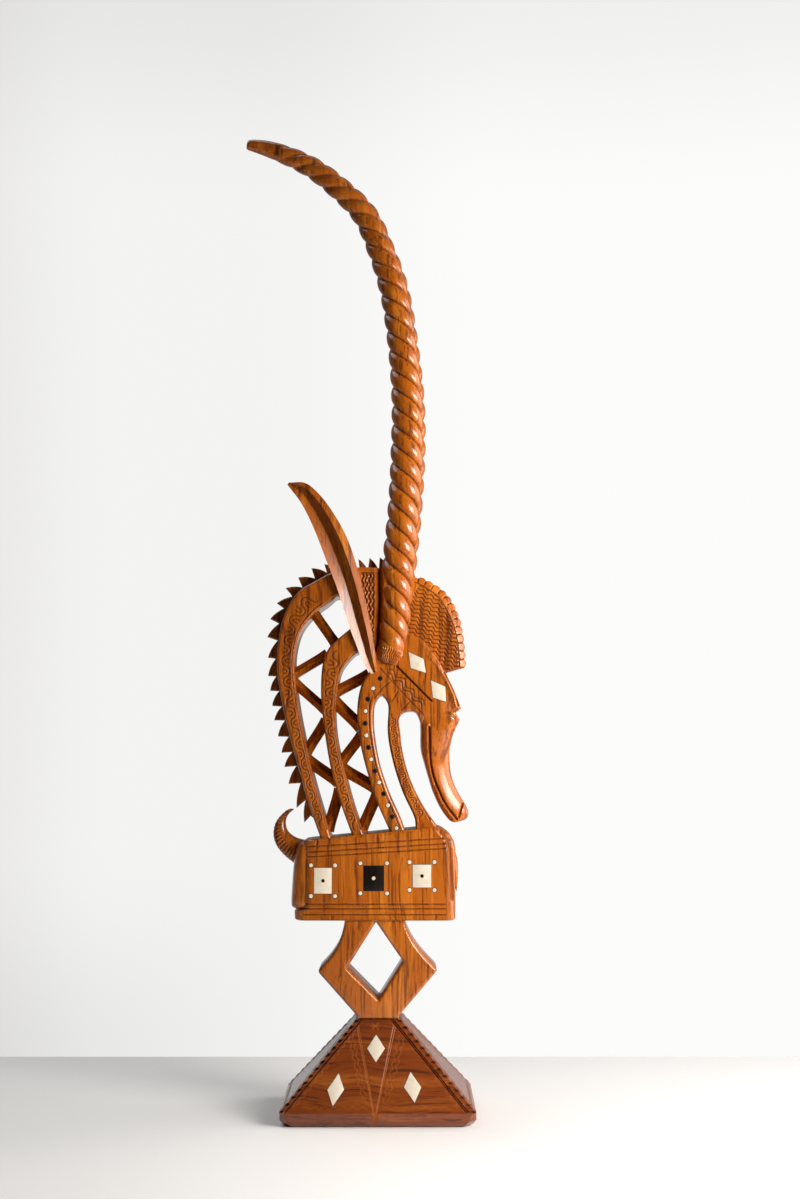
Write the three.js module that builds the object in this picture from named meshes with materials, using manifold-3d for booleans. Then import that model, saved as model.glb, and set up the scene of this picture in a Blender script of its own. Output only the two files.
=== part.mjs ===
// Chiwara headdress: a stylised antelope carved from one block, on a pyramid plinth.
// Millimetres, +Z up. The animal looks along +X and its near side faces -Y.
// The origin is the middle of the plinth's underside.

import * as THREE from 'three';
import { mergeVertices } from 'three/addons/utils/BufferGeometryUtils.js';
import Module from 'manifold-3d';

const wasm = await Module();
wasm.setup();

// Driving dimensions

const GAP = 0.3;                // glue line between a piece and what it sits on or in
const SINK = 5;                 // how far one carved form runs into the next before they fuse
const FINENESS = 1.7;           // facets for each span of a curve drawn through points

const PLINTH = {
  width: 174, depth: 128,       // at the foot band
  height: 87,
  topWidth: 41, topDepth: 51,
  band: 13,                     // upright band round the foot
  footRound: 6,                 // how far the foot is rounded in under the band
  footEase: [0.35, 0.3],        // share of that rounding's height, and what is left of it there
  edgeNotches: 13, firstNotch: 0.6,  // notches on each sloping corner
  notchWidth: 3.2, notchDepth: 1.8, notchFlare: 3,
  borderInset: 6.5,             // groove beside each corner strip
  grooveWidth: 1.6, grooveDepth: 1.1, grooveEnds: [0.02, 0.97],
  veeTops: [-18.4, -16, 14.1, 16.5], veeFoot: -1.5, veeWidth: 1.1, veeDepth: 0.7,
};

const RHOMB = { thickness: 48, height: 88.7 };     // the open diamond that carries the body

const BODY = {
  depth: 56, height: 79.5,      // over the middle of the plinth
  topSlope: 0.1,                // the back rises towards the chest
  cornerRound: 12,
  lowGrooves: [5.5, 10.8, 14.9],     // heights above the underside
  highGrooves: [9, 13.9, 18.2],      // depths below the back
  highSlope: 0.062, highMiddle: -5,
  panelLeft: -69, panelRight: 60,    // where the grooves run out
  grooveWidth: 1.8, grooveDepth: 1.3,
};
const TICKS = { xs: [-56.5, -45.5, -1.5, 5.5, 39, 50.5], length: 7.5, width: 1.2, depth: 0.9 };
const RUMP = { thickness: 30 };
const CHEST = { thickness: 30 };

const TAIL = { ribs: 18, ribRelief: 0.9, plainTip: 0.06, rootHalf: 10, tipHalf: 3.5, sides: 6 };

const NECK = { height: 250, thickness: 46, braceThickness: 22 };   // height: back to mane top
const MANE = { thickness: 9, bulge: 1, rootSteps: 15 };
const CREST = {
  thickness: 18, scallops: 13, firstScallop: 0.2, scallopHeight: 1.5,
  locks: 7, lockWidth: 2.4, lockDepth: 1.1, lockWave: 1.6, lockSteps: 5,
};
const HAIR = { xs: [-16, -10], top: 243, bottom: 168, width: 2.2, depth: 1.2, wave: 1.1, steps: 5 };
const MUZZLE = { rootHalf: 20, tipHalf: 11, fullness: 0.8, steps: 12, lipWidth: 2.2, lipDepth: 2.2 };

const HORN = {
  apart: 27.5,                  // between the two horns' centre lines
  strands: 3, lead: 55,         // a rope of three strands, and the rise of one full turn
  groove: 0.115,                // groove depth as a share of the radius
  swell: 0.06,                  // how far each strand bulges, as a share of the radius
  step: 9,                      // spacing of the modelled sections
  plainTip: 24, plainRoot: 60,  // lengths without twist relief
  rootOut: 6,                   // how far the root stands out beside the head
  farRise: 11, farForward: 2.6, // the far horn sweeps a little higher and further forward
};
const EAR = {                   // a long hollow between two rims
  stand: 1.5, splay: 6, steps: 13,
  rearRim: 6.2, hollow: 0.6, foreRim: 6, edge: 2, back: -2.2,   // heights over the leaf's middle
  hollowAt: 0.4, foreRimAt: 0.71, backAt: 0.3,                  // shares of its width
  rootFull: 0.12, fullSpan: 0.8, fullness: 0.6,                 // how the leaf swells and thins out
  farRise: 10, farBack: 4,                                      // the far ear's tip against the near one's
};

const INLAY = {
  depth: 4, pegDepth: 8, eyeDepth: 3, pegRadius: 2.1, centreRadius: 1.7, sides: 6,
  proudCut: 1,                  // how far a recess's cutter stands out of the face
};
const RECTANGLES = [
  { name: 'rear', x: -50.8, z: 36.2, width: 16.4, height: 23.4, kind: 'bone' },
  { name: 'middle', x: -4.5, z: 38.4, width: 18.7, height: 22.8, kind: 'ebony' },
  { name: 'front', x: 39.7, z: 40.4, width: 17.2, height: 20.8, kind: 'bone' },
];
const CORNER_PEG_OUT = { x: 2.8, z: 2.2 };   // beyond each rectangle's corner
const PLINTH_DIAMONDS = [                    // middle and size, on the front slope
  { name: 'top', x: -1.9, z: 64, width: 16.2, height: 25.5, lean: 0 },
  { name: 'left', x: -37.4, z: 31.3, width: 15, height: 29.6, lean: 0.16 },
  { name: 'right', x: 30.8, z: 33.2, width: 15.4, height: 27.6, lean: -0.13 },
];
const HEAD_DIAMONDS = [
  { name: 'temple', corners: [[27.6, 166.3], [41.6, 159.8], [43.8, 146.7], [29.5, 151.2]] },
  { name: 'brow', corners: [[48.1, 140.2], [61.7, 134], [62.3, 119.8], [50, 124]] },
];
const STRUT_PEGS = { count: 14, first: 'ebony', second: 'bone' };

const COLOURS = {
  figureWood: { color: 0xb05f1e, roughness: 0.32 },
  plinthWood: { color: 0x8c461e, roughness: 0.35 },
  bone: { color: 0xf0e6cd, roughness: 0.4 },
  ebony: { color: 0x140a05, roughness: 0.35 },
};

// Heights at which one form stands on the next

const figureFoot = PLINTH.height + GAP;
const bodyFoot = figureFoot + RHOMB.height;
const neckFoot = bodyFoot + BODY.height;

// Outlines are drawn in side view at these heights and keep their proportions with each form.
const DRAWN = { rhomb: 88.7, body: 79.5, neck: 250 };
const scaled = (points, size, drawnSize) => points.map((p) => p.map((v, i) => (
  i < 2 ? (v * size) / drawnSize : v)));
const drawn = (points) => scaled(points, NECK.height, DRAWN.neck);
const drawnBody = (points) => scaled(points, BODY.height, DRAWN.body);
const drawnRhomb = (points) => scaled(points, RHOMB.height, DRAWN.rhomb);

// Shape helpers

const spline = (points) => new THREE.SplineCurve(points.map(([x, z]) => new THREE.Vector2(x, z)));
const smooth = (points) => spline(points).getPoints(Math.round(FINENESS * (points.length - 1)))
  .map((p) => [p.x, p.y]);

function toSolid(geometry) {
  const bare = geometry.clone();
  bare.deleteAttribute('normal');
  bare.deleteAttribute('uv');
  const merged = mergeVertices(bare, 1e-4);
  return new wasm.Manifold(new wasm.Mesh({
    numProp: 3,
    vertProperties: Float32Array.from(merged.attributes.position.array),
    triVerts: Uint32Array.from(merged.index.array),
  }));
}

function toGeometry(solid) {
  const mesh = solid.getMesh();
  const geometry = new THREE.BufferGeometry();
  const positions = new Float32Array(mesh.numVert * 3);
  for (let i = 0; i < mesh.numVert; i += 1) {
    for (let k = 0; k < 3; k += 1) {
      positions[3 * i + k] = mesh.vertProperties[mesh.numProp * i + k];
    }
  }
  geometry.setAttribute('position', new THREE.BufferAttribute(positions, 3));
  geometry.setIndex(Array.from(mesh.triVerts));
  geometry.computeVertexNormals();
  return geometry;
}

// A face frame: local x runs along the face, local y up it, local z out of it.
function faceFrame(origin, along, up) {
  const x = new THREE.Vector3(...along).normalize();
  const y = new THREE.Vector3(...up).normalize();
  const z = new THREE.Vector3().crossVectors(x, y);
  return new THREE.Matrix4().makeBasis(x, y, z).setPosition(...origin);
}

const nearFace = (y, z) => faceFrame([0, -y, z], [1, 0, 0], [0, 0, 1]);
const farFace = (y, z) => faceFrame([0, y, z], [-1, 0, 0], [0, 0, 1]);

function slab(outline, thickness, frame, lift = 0, holes = []) {
  const toVectors = (ring) => ring.map(([x, y]) => new THREE.Vector2(x, y));
  const shape = new THREE.Shape(toVectors(outline));
  shape.holes = holes.map((ring) => new THREE.Path(toVectors(ring)));
  const geometry = new THREE.ExtrudeGeometry(shape, { depth: thickness, bevelEnabled: false });
  geometry.translate(0, 0, lift - thickness);
  geometry.applyMatrix4(frame);
  return toSolid(geometry);
}

// A slab centred on the figure's middle plane, standing at the given height
function upright(outline, thickness, foot, holes = []) {
  return slab(outline, thickness, nearFace(0, foot), thickness / 2, holes);
}

// A closed skin through rings that all have as many points
function loft(rings) {
  const sides = rings[0].length;
  const positions = rings.flat().flatMap((p) => [p.x, p.y, p.z]);
  const index = [];
  for (let i = 0; i < rings.length - 1; i += 1) {
    for (let k = 0; k < sides; k += 1) {
      const a = i * sides + k;
      const b = i * sides + (k + 1) % sides;
      index.push(a, b, b + sides, a, b + sides, a + sides);
    }
  }
  const last = (rings.length - 1) * sides;
  for (let k = 1; k < sides - 1; k += 1) {
    index.push(0, k + 1, k, last, last + k, last + k + 1);
  }
  const geometry = new THREE.BufferGeometry();
  geometry.setAttribute('position', new THREE.Float32BufferAttribute(positions, 3));
  geometry.setIndex(signedVolume(positions, index) < 0 ? index.reverse() : index);
  return toSolid(geometry);
}

function signedVolume(positions, index) {
  let sum = 0;
  const corner = (i) => new THREE.Vector3().fromArray(positions, 3 * i);
  for (let t = 0; t < index.length; t += 3) {
    const [a, b, c] = [corner(index[t]), corner(index[t + 1]), corner(index[t + 2])];
    sum += a.dot(b.cross(c)) / 6;
  }
  return sum;
}

// A V-shaped groove along a line drawn on a face
function grooveCutter(line, width, depth, frame) {
  const lift = depth;
  const points = line.map(([x, y]) => new THREE.Vector2(x, y));
  const rings = points.map((p, i) => {
    const before = points[Math.max(i - 1, 0)];
    const after = points[Math.min(i + 1, points.length - 1)];
    const t = after.clone().sub(before).normalize();
    const half = (width / 2) * (1 + lift / depth);
    return [
      new THREE.Vector3(p.x - t.y * half, p.y + t.x * half, lift),
      new THREE.Vector3(p.x + t.y * half, p.y - t.x * half, lift),
      new THREE.Vector3(p.x, p.y, -depth),
    ].map((q) => q.applyMatrix4(frame));
  });
  return loft(rings);
}

// A convex outline grown outwards by the same distance all round
function grown(outline, distance) {
  const middle = [0, 1].map((k) => outline.reduce((sum, p) => sum + p[k], 0) / outline.length);
  const edges = outline.map((p, i) => {
    const q = outline[(i + 1) % outline.length];
    const n = new THREE.Vector2(q[1] - p[1], p[0] - q[0]).normalize();
    if (n.x * (p[0] - middle[0]) + n.y * (p[1] - middle[1]) < 0) n.negate();
    return { n, d: n.x * p[0] + n.y * p[1] + distance };
  });
  return edges.map((e, i) => {
    const f = edges[(i + edges.length - 1) % edges.length];
    const det = f.n.x * e.n.y - f.n.y * e.n.x;
    return [(f.d * e.n.y - e.d * f.n.y) / det, (f.n.x * e.d - e.n.x * f.d) / det];
  });
}

function disc(x, y, radius) {
  return Array.from({ length: INLAY.sides }, (_, i) => {
    const a = (2 * Math.PI * (i + 0.5)) / INLAY.sides;
    return [x + radius * Math.cos(a), y + radius * Math.sin(a)];
  });
}

function roundedRectangle(left, right, low, high, radius, steps = 4) {
  const corners = [
    [right - radius, low + radius, -0.5], [right - radius, high - radius, 0],
    [left + radius, high - radius, 0.5], [left + radius, low + radius, 1],
  ];
  return corners.flatMap(([cx, cy, turn]) => Array.from({ length: steps + 1 }, (_, i) => {
    const a = Math.PI * (turn + (0.5 * i) / steps);
    return [cx + radius * Math.cos(a), cy + radius * Math.sin(a)];
  }));
}

const joined = (solids) => solids.reduce((whole, s) => whole.add(s));
const cutFrom = (solid, cutters) => (cutters.length ? solid.subtract(joined(cutters)) : solid);

// Plinth

const slopeRise = PLINTH.height - PLINTH.band;
const slopeRunY = (PLINTH.depth - PLINTH.topDepth) / 2;
const slopeRunX = (PLINTH.width - PLINTH.topWidth) / 2;

// Local y on a sloping face is measured up the slope from the top of the foot band.
function plinthFace(side) {
  const across = side % 2 === 0;
  const turn = new THREE.Matrix4().makeRotationZ((side * Math.PI) / 2);
  const run = across ? slopeRunY : slopeRunX;
  const reach = (across ? PLINTH.depth : PLINTH.width) / 2;
  return turn.multiply(faceFrame([0, -reach, PLINTH.band], [1, 0, 0], [0, run, slopeRise]));
}

const faceLength = (side) => Math.hypot(side % 2 === 0 ? slopeRunY : slopeRunX, slopeRise);
const faceHalf = (side, share) => {
  const [foot, top] = side % 2 === 0
    ? [PLINTH.width, PLINTH.topWidth]
    : [PLINTH.depth, PLINTH.topDepth];
  return (foot + (top - foot) * share) / 2;
};

function plinthBlock() {
  const [x, y, r] = [PLINTH.width / 2, PLINTH.depth / 2, PLINTH.footRound];
  const [easeHeight, easeIn] = PLINTH.footEase.map((share) => share * r);
  const levels = [
    [x - r, y - r, 0], [x - easeIn, y - easeIn, easeHeight], [x, y, r],
    [x, y, PLINTH.band], [PLINTH.topWidth / 2, PLINTH.topDepth / 2, PLINTH.height],
  ];
  return loft(levels.map(([a, b, z]) => [[-a, -b], [a, -b], [a, b], [-a, b]]
    .map(([px, py]) => new THREE.Vector3(px, py, z))));
}

function cornerNotches() {
  const cutters = [];
  for (const [sx, sy] of [[1, -1], [1, 1], [-1, 1], [-1, -1]]) {
    const foot = new THREE.Vector3((sx * PLINTH.width) / 2, (sy * PLINTH.depth) / 2, PLINTH.band);
    const top = new THREE.Vector3((sx * PLINTH.topWidth) / 2, (sy * PLINTH.topDepth) / 2, PLINTH.height);
    const along = top.clone().sub(foot);
    const across = new THREE.Vector3(-sy, sx, 0).normalize();
    const out = new THREE.Vector3().crossVectors(across, along).normalize();
    if (out.z < 0) out.negate();
    for (let i = 0; i < PLINTH.edgeNotches; i += 1) {
      const share = (i + PLINTH.firstNotch) / (PLINTH.edgeNotches + 2 * PLINTH.firstNotch - 1);
      const at = foot.clone().addScaledVector(along, share);
      const t = along.clone().normalize().multiplyScalar(PLINTH.notchWidth / 2);
      const ring = (end) => {
        const p = at.clone().addScaledVector(across, end * PLINTH.borderInset);
        const low = p.clone().addScaledVector(out, -PLINTH.notchDepth);
        const high = p.clone().addScaledVector(out, (PLINTH.notchFlare - 1) * PLINTH.notchDepth);
        return [PLINTH.notchFlare, -PLINTH.notchFlare].reduce(
          (corners, k) => [...corners, high.clone().addScaledVector(t, k)], [low]);
      };
      cutters.push(loft([ring(-1), ring(1)]));
    }
  }
  return cutters;
}

function plinthGrooves() {
  const cutters = [];
  for (let side = 0; side < 4; side += 1) {
    const frame = plinthFace(side);
    for (const s of [-1, 1]) {
      const line = PLINTH.grooveEnds.map((share) => [
        s * (faceHalf(side, share) - PLINTH.borderInset), share * faceLength(side)]);
      cutters.push(grooveCutter(line, PLINTH.grooveWidth, PLINTH.grooveDepth, frame));
    }
  }
  return cutters;
}

// The long V cut on the front slope, in double lines
function frontLines() {
  const length = faceLength(0);
  const foot = [PLINTH.veeFoot, 0];
  return PLINTH.veeTops.map((x) => grooveCutter(
    [[x, length - PLINTH.grooveWidth], foot], PLINTH.veeWidth, PLINTH.veeDepth, plinthFace(0)));
}

// Each inlay is an outline on a face, how deep it goes, and what it is made of.
function plinthInlays() {
  const lengthShare = (z) => ((z - PLINTH.band) / slopeRise) * faceLength(0);
  return PLINTH_DIAMONDS.map(({ name, x, z, width, height, lean }) => {
    const [w, h, y] = [width / 2, height / 2, lengthShare(z)];
    const outline = [[x + lean * h, y + h], [x - w, y], [x - lean * h, y - h], [x + w, y]];
    return {
      name: `plinth_diamond_${name}`, kind: 'bone', outline, depth: INLAY.depth, frame: plinthFace(0),
    };
  });
}

// Open diamond

const RHOMB_LEFT = drawnRhomb([
  [-31.2, 93.7], [-31.4, 85.7], [-36.6, 68], [-44.4, 55.5], [-54.6, 44.6],
]);
const RHOMB_FOOT = drawnRhomb([
  [-54.6, 40.6], [-18.5, 1.8], [-18.5, 0], [18.5, 0], [18.5, 2.6], [53, 42],
]);
const RHOMB_RIGHT = drawnRhomb([[53, 45], [39.6, 58.9], [30.2, 72], [24.4, 85.7], [24.2, 93.7]]);
const WINDOW = drawnRhomb([[-2.4, 87], [-28.7, 45.6], [0, 17.2], [22.3, 51.8]]);

function rhombSolid() {
  const outline = [...smooth(RHOMB_LEFT), ...RHOMB_FOOT, ...smooth(RHOMB_RIGHT)];
  return upright(outline, RHOMB.thickness, figureFoot, [WINDOW]);
}

// Body

const backHeight = (x) => BODY.height + BODY.topSlope * x;

const BODY_SIDE = drawnBody([
  [-76.5, 1.5], [-74, 0], [66.5, 0], [70.5, 3.5], [70.5, 60], [65.5, 71.6], [54.5, 82.1],
  [51.5, 84.6], [-75.5, 72], [-77, 50], [-77.5, 10],
]);
const [bodyLeft, bodyRight] = [Math.min, Math.max].map((pick) => pick(...BODY_SIDE.map(([x]) => x)));

function bodySolid() {
  const block = upright(BODY_SIDE, BODY.depth, bodyFoot);
  const plan = roundedRectangle(bodyLeft, bodyRight, -BODY.depth / 2, BODY.depth / 2, BODY.cornerRound);
  const mask = slab(plan, 2 * BODY.height, faceFrame([0, 0, bodyFoot - SINK], [1, 0, 0], [0, 1, 0]),
    2 * BODY.height);
  return block.intersect(mask);
}

function bodyGrooves() {
  const cutters = [];
  const line = (heightAt) => [BODY.panelLeft, BODY.panelRight].map((x) => [x, heightAt(x)]);
  const lines = [
    ...BODY.lowGrooves.map((z) => line(() => z)),
    ...BODY.highGrooves.map((drop) => line(
      (x) => BODY.height - drop + BODY.highSlope * (x - BODY.highMiddle))),
  ];
  for (const points of lines) {
    const mirrored = points.map(([x, z]) => [-x, z]);
    const size = [BODY.grooveWidth, BODY.grooveDepth];
    cutters.push(grooveCutter(points, ...size, nearFace(BODY.depth / 2, bodyFoot)));
    cutters.push(grooveCutter(mirrored, ...size, farFace(BODY.depth / 2, bodyFoot)));
  }
  for (const x of TICKS.xs) {
    const top = backHeight(x);
    cutters.push(grooveCutter([[x, top - TICKS.length], [x, top - TICKS.depth]], TICKS.width, TICKS.depth,
      nearFace(BODY.depth / 2, bodyFoot)));
  }
  return cutters;
}

const RUMP_SIDE = drawnBody([
  [-65.5, 53], [-77.5, 53], [-79, 33], [-80.9, 13], [-79.4, 8.2], [-75.9, 7], [-65.5, 7],
]);

// The leaf that hangs over the chest
const CHEST_OUTER = drawnBody([
  [52, 84.5], [57.5, 79.4], [65.1, 71.7], [70.2, 62.7], [72.6, 53.8], [73, 39.9], [72, 25.1],
]);
const CHEST_INNER = drawnBody([[68.5, 29.5], [56.5, 54.5], [40.5, 73.5]]);

// Tail: a curled horn shape, ribbed on its outer side
const TAIL_OUTER = drawnBody([
  [-72, 46], [-79.3, 50.4], [-89.6, 58.8], [-96.2, 67.7], [-98.6, 77], [-96.3, 88.2],
  [-88.3, 97.7], [-83.6, 100.4], [-79.6, 100.4],
]);
const TAIL_INNER = drawnBody([
  [-66, 71], [-75.5, 73.3], [-80.2, 75.7], [-84, 78.9], [-86.4, 83.5], [-86.9, 88.2],
  [-86, 92.4], [-83.6, 96.2], [-79.8, 99.4],
]);

function tailSolid() {
  const [outer, inner] = [TAIL_OUTER, TAIL_INNER].map(spline);
  const steps = 2 * TAIL.ribs;
  const rings = [];
  for (let i = 0; i <= steps; i += 1) {
    const share = i / steps;
    const p = outer.getPoint(share);
    const q = inner.getPoint(share);
    const half = TAIL.rootHalf + (TAIL.tipHalf - TAIL.rootHalf) * share;
    const rib = i % 2 === 0 || share > 1 - TAIL.plainTip ? 0 : TAIL.ribRelief;
    const outward = p.clone().sub(q).normalize().multiplyScalar(rib);
    rings.push(Array.from({ length: TAIL.sides }, (_, k) => {
      const a = (2 * Math.PI * k) / TAIL.sides;
      const mix = (1 + Math.cos(a)) / 2;
      const at = q.clone().lerp(p, mix).addScaledVector(outward, -Math.max(Math.cos(a), 0));
      return new THREE.Vector3(at.x, half * Math.sin(a), bodyFoot + at.y);
    }));
  }
  return loft(rings);
}

// Neck: four curved ribs, the skull behind the horns and the mane arch, cut from one plank

const ARCH_OUTER = drawn([
  [-51, -12], [-64.2, 24.5], [-72.1, 51.6], [-82.7, 89.1], [-91.5, 128], [-94.7, 151.5],
  [-94.1, 172], [-88.8, 199.3], [-75.3, 222.7], [-60.3, 232.3], [-42, 241.5], [-20, 248.5],
  [2, 249.5],
]);
const ARCH_INNER = drawn([
  [-27, 208], [-38.3, 218.7], [-47.9, 211.7], [-58.7, 203.5], [-72.4, 187], [-78.4, 165.1],
  [-78.6, 148.8], [-74.5, 114.9], [-64.5, 67], [-57.9, 41.3], [-50, 15.6], [-44, -4],
]);
const RIB2_LEFT = drawn([
  [-24.2, -3.2], [-34.4, 24.5], [-43, 52.9], [-49.7, 89.1], [-53.7, 128], [-51.9, 156.7],
  [-46.3, 170.6], [-39.5, 177.4], [-27.2, 187.7],
]);
const RIB2_RIGHT = drawn([
  [-10, 160], [-19.3, 165.8], [-29.7, 156.7], [-35.5, 147.5], [-38.1, 135.8], [-40.6, 109.7],
  [-37.9, 81.3], [-30.7, 52.9], [-22.8, 24.5], [-14, -1],
]);
const RIB3_LEFT = drawn([
  [10.5, 0.5], [-1.4, 27.1], [-10, 52.9], [-17.1, 81.3], [-20.2, 108.5], [-16.6, 134.5],
  [-7.5, 150.1],
]);
const RIB3_RIGHT = drawn([
  [2.9, 126.2], [0.2, 125], [-4.1, 117.6], [-5.1, 104.6], [-4.1, 89.1], [0.5, 63.2], [9.5, 36.2],
  [19.9, 13], [24.2, 1.5],
]);
const RIB4_LEFT = drawn([
  [34.1, 2.5], [33.4, 11.7], [21.8, 37.5], [12.8, 65.7], [8.2, 91.6], [8.5, 117.6], [5.6, 123.5],
]);
const RIB4_RIGHT = drawn([
  [39.2, 100], [34.2, 110.4], [27.7, 111.3], [22, 109.5], [18.6, 104.6], [19.9, 91.6], [21.2, 78.7],
  [27.6, 52.9], [39.3, 27.1], [52.2, 7.9], [58, 1],
]);
const SKULL = drawn([
  [14, 225], [20, 196], [27.1, 184.4], [38.4, 179.4], [47, 170.1], [54.8, 159.4], [60.5, 149.4],
]);
const BROW = drawn([
  [61.9, 147.8], [64.2, 142.3], [69.4, 131.9], [73.9, 120.2], [76.2, 113.9], [71.1, 109.7],
  [75.1, 103.7], [71.9, 96.8], [68.6, 89.1],
]);
const CHEEK = drawn([[52, 78], [42, 84]]);
const CHEST_END = drawn([[58, -14]]);
const BRACES = [                // from, to, width
  [[-60.5, 202.8], [-43, 178], 9.5], [[-52.7, 162.7], [-77.9, 147.7], 9.5],
  [[-76.3, 135.7], [-54, 116.4], 9.5], [[-52, 98.9], [-66.5, 76.1], 10],
  [[-63.9, 63.8], [-41.9, 48.9], 11], [[-37.7, 34], [-46.3, 5.7], 10.5],
  [[-38.3, 131.1], [-13.5, 143.9], 10.5], [[-39.9, 119], [-20.6, 100.5], 11.5],
  [[-18.6, 86.2], [-33.5, 66.7], 10], [[-29.9, 55.4], [-6.8, 42.5], 11],
  [[-2.9, 31.5], [-14.2, 6.3], 10.5],
];

function neckSolid() {
  const outline = [
    ...smooth(ARCH_OUTER), ...smooth(SKULL), ...BROW, ...CHEEK,
    ...smooth(RIB4_RIGHT), ...CHEST_END,
  ];
  const holes = [
    [...smooth(ARCH_INNER), ...smooth(RIB2_LEFT)],
    [...smooth(RIB2_RIGHT), ...smooth(RIB3_LEFT)],
    [...smooth(RIB3_RIGHT), ...smooth(RIB4_LEFT)],
  ];
  return upright(outline, NECK.thickness, neckFoot, holes);
}

// Each brace is a bar with a ridge along its near and far side.
function braceSolids() {
  return BRACES.map(([from, to, width]) => {
    const [a, b] = drawn([from, to]).map((p) => new THREE.Vector2(...p));
    const t = b.clone().sub(a).normalize();
    const [deep, edge, w] = [NECK.braceThickness / 2, NECK.braceThickness / 4, width / 2];
    const section = [[-w, -edge], [0, -deep], [w, -edge], [w, edge], [0, deep], [-w, edge]];
    const ring = (p, out) => section.map(([across, y]) => new THREE.Vector3(
      p.x + t.x * out - t.y * across, y, neckFoot + p.y + t.y * out + t.x * across));
    return loft([ring(a, -SINK), ring(b, SINK)]);
  });
}

// Saw teeth up the mane: where each leaves the arch, and its point
const TEETH = [
  [[-63.8, 14.5], [-69.5, 8.3]], [[-68.5, 29], [-76.9, 21.9]], [[-73.3, 44.7], [-84.5, 44.1]],
  [[-77.3, 60.6], [-88.5, 59.7]], [[-81.3, 73.6], [-91.3, 73]], [[-84.7, 87.8], [-94.7, 88.2]],
  [[-88.3, 103.1], [-98.3, 103.3]], [[-91.3, 116.2], [-100.5, 116.8]],
  [[-93.9, 130.6], [-102.3, 131]], [[-96.6, 144.5], [-104.4, 144.9]],
  [[-97.3, 161.2], [-104.6, 162.1]], [[-95.6, 178.3], [-105.4, 181.6]],
  [[-94.3, 194.3], [-102.8, 198.5]], [[-90, 208.5], [-96.6, 213.5]],
  [[-81.9, 219.8], [-88.4, 227.8]], [[-72.7, 228.5], [-76.6, 237.9]],
  [[-60.9, 237], [-64.2, 246.7]], [[-49.5, 242.5], [-52, 250.5]], [[-39.5, 245.5], [-41.4, 253.2]],
  [[-28.7, 247], [-30.6, 254.7]], [[-18.5, 247], [-19.7, 255.4]], [[-10.8, 246.5], [-9.2, 256.5]],
  [[-0.5, 248], [0.4, 257.1]], [[11, 249], [11, 249]],
].map(drawn);

function maneSolid() {
  const outline = TEETH.slice(0, -1).flatMap(([root, point], i) => {
    const next = new THREE.Vector2(...TEETH[i + 1][0]);
    const tip = new THREE.Vector2(...point);
    const along = next.clone().sub(tip);
    const middle = tip.clone().addScaledVector(along, 0.5)
      .addScaledVector(new THREE.Vector2(-along.y, along.x).normalize(), MANE.bulge);
    return [root, point, [middle.x, middle.y]];
  });
  outline.push(TEETH[TEETH.length - 1][0]);
  const arch = spline(ARCH_OUTER);
  const inner = Array.from({ length: MANE.rootSteps }, (_, i) => {
    const share = 1 - i / MANE.rootSteps;
    const t = arch.getTangentAt(share);
    const p = arch.getPointAt(share).addScaledVector(new THREE.Vector2(t.y, -t.x), SINK);
    return [p.x, p.y];
  });
  return upright([...outline, ...inner], MANE.thickness, neckFoot);
}

// Crest: a thin fan between the horns with a scalloped edge

const CREST_EDGE = drawn([
  [12, 241], [34.6, 237.6], [48.7, 231.3], [59.4, 224], [66.2, 216], [74, 198.5], [77.6, 180],
  [79, 164.8], [79.6, 152.6],
]);

const CREST_ROOT = drawn([[60, 147], [45, 160], [25, 172], [4, 190]]);

function crestSolid() {
  const curve = spline(CREST_EDGE);
  const edge = [curve.getPointAt(0)];
  for (let i = 0; i <= 2 * CREST.scallops; i += 1) {
    const share = CREST.firstScallop + ((1 - CREST.firstScallop) * i) / (2 * CREST.scallops);
    const t = curve.getTangentAt(share);
    const out = i % 2 ? CREST.scallopHeight : 0;
    edge.push(curve.getPointAt(share).addScaledVector(new THREE.Vector2(-t.y, t.x), out));
  }
  const outline = [...edge.map((p) => [p.x, p.y]), ...CREST_ROOT];
  return upright(outline, CREST.thickness, neckFoot);
}

const [FIRST_LOCK, LAST_LOCK] = [
  [[27, 231], [51, 221]], [[47.4, 186.6], [73.2, 163.4]],
].map((ends) => drawn(ends).map((p) => new THREE.Vector2(...p)));

function crestLocks() {
  const cutters = [];
  for (let i = 0; i < CREST.locks; i += 1) {
    const share = i / (CREST.locks - 1);
    const start = FIRST_LOCK[0].clone().lerp(LAST_LOCK[0], share);
    const end = FIRST_LOCK[1].clone().lerp(LAST_LOCK[1], share);
    const across = new THREE.Vector2(start.y - end.y, end.x - start.x).normalize();
    const line = Array.from({ length: CREST.lockSteps + 1 }, (_, k) => {
      const sway = (k % 2 ? 1 : -1) * (CREST.lockWave / 2);
      const p = start.clone().lerp(end, k / CREST.lockSteps).addScaledVector(across, sway);
      return [p.x, p.y];
    });
    cutters.push(...grooveOnBothSides(line, CREST.lockWidth, CREST.lockDepth, CREST.thickness / 2));
  }
  return cutters;
}

function grooveOnBothSides(line, width, depth, half) {
  const mirrored = line.map(([x, z]) => [-x, z]);
  return [
    grooveCutter(line, width, depth, nearFace(half, neckFoot)),
    grooveCutter(mirrored, width, depth, farFace(half, neckFoot)),
  ];
}

// Wavy hair on the back of the head, beside each horn
function hairGrooves() {
  return HAIR.xs.flatMap((x) => {
    const line = Array.from({ length: HAIR.steps + 1 }, (_, k) => [
      x + (k % 2 ? HAIR.wave : -HAIR.wave) / 2,
      HAIR.top + ((HAIR.bottom - HAIR.top) * k) / HAIR.steps,
    ]);
    return grooveOnBothSides(drawn(line), HAIR.width, HAIR.depth, NECK.thickness / 2);
  });
}

// Muzzle: a rounded, tapering form from the brow down to the nose

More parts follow.
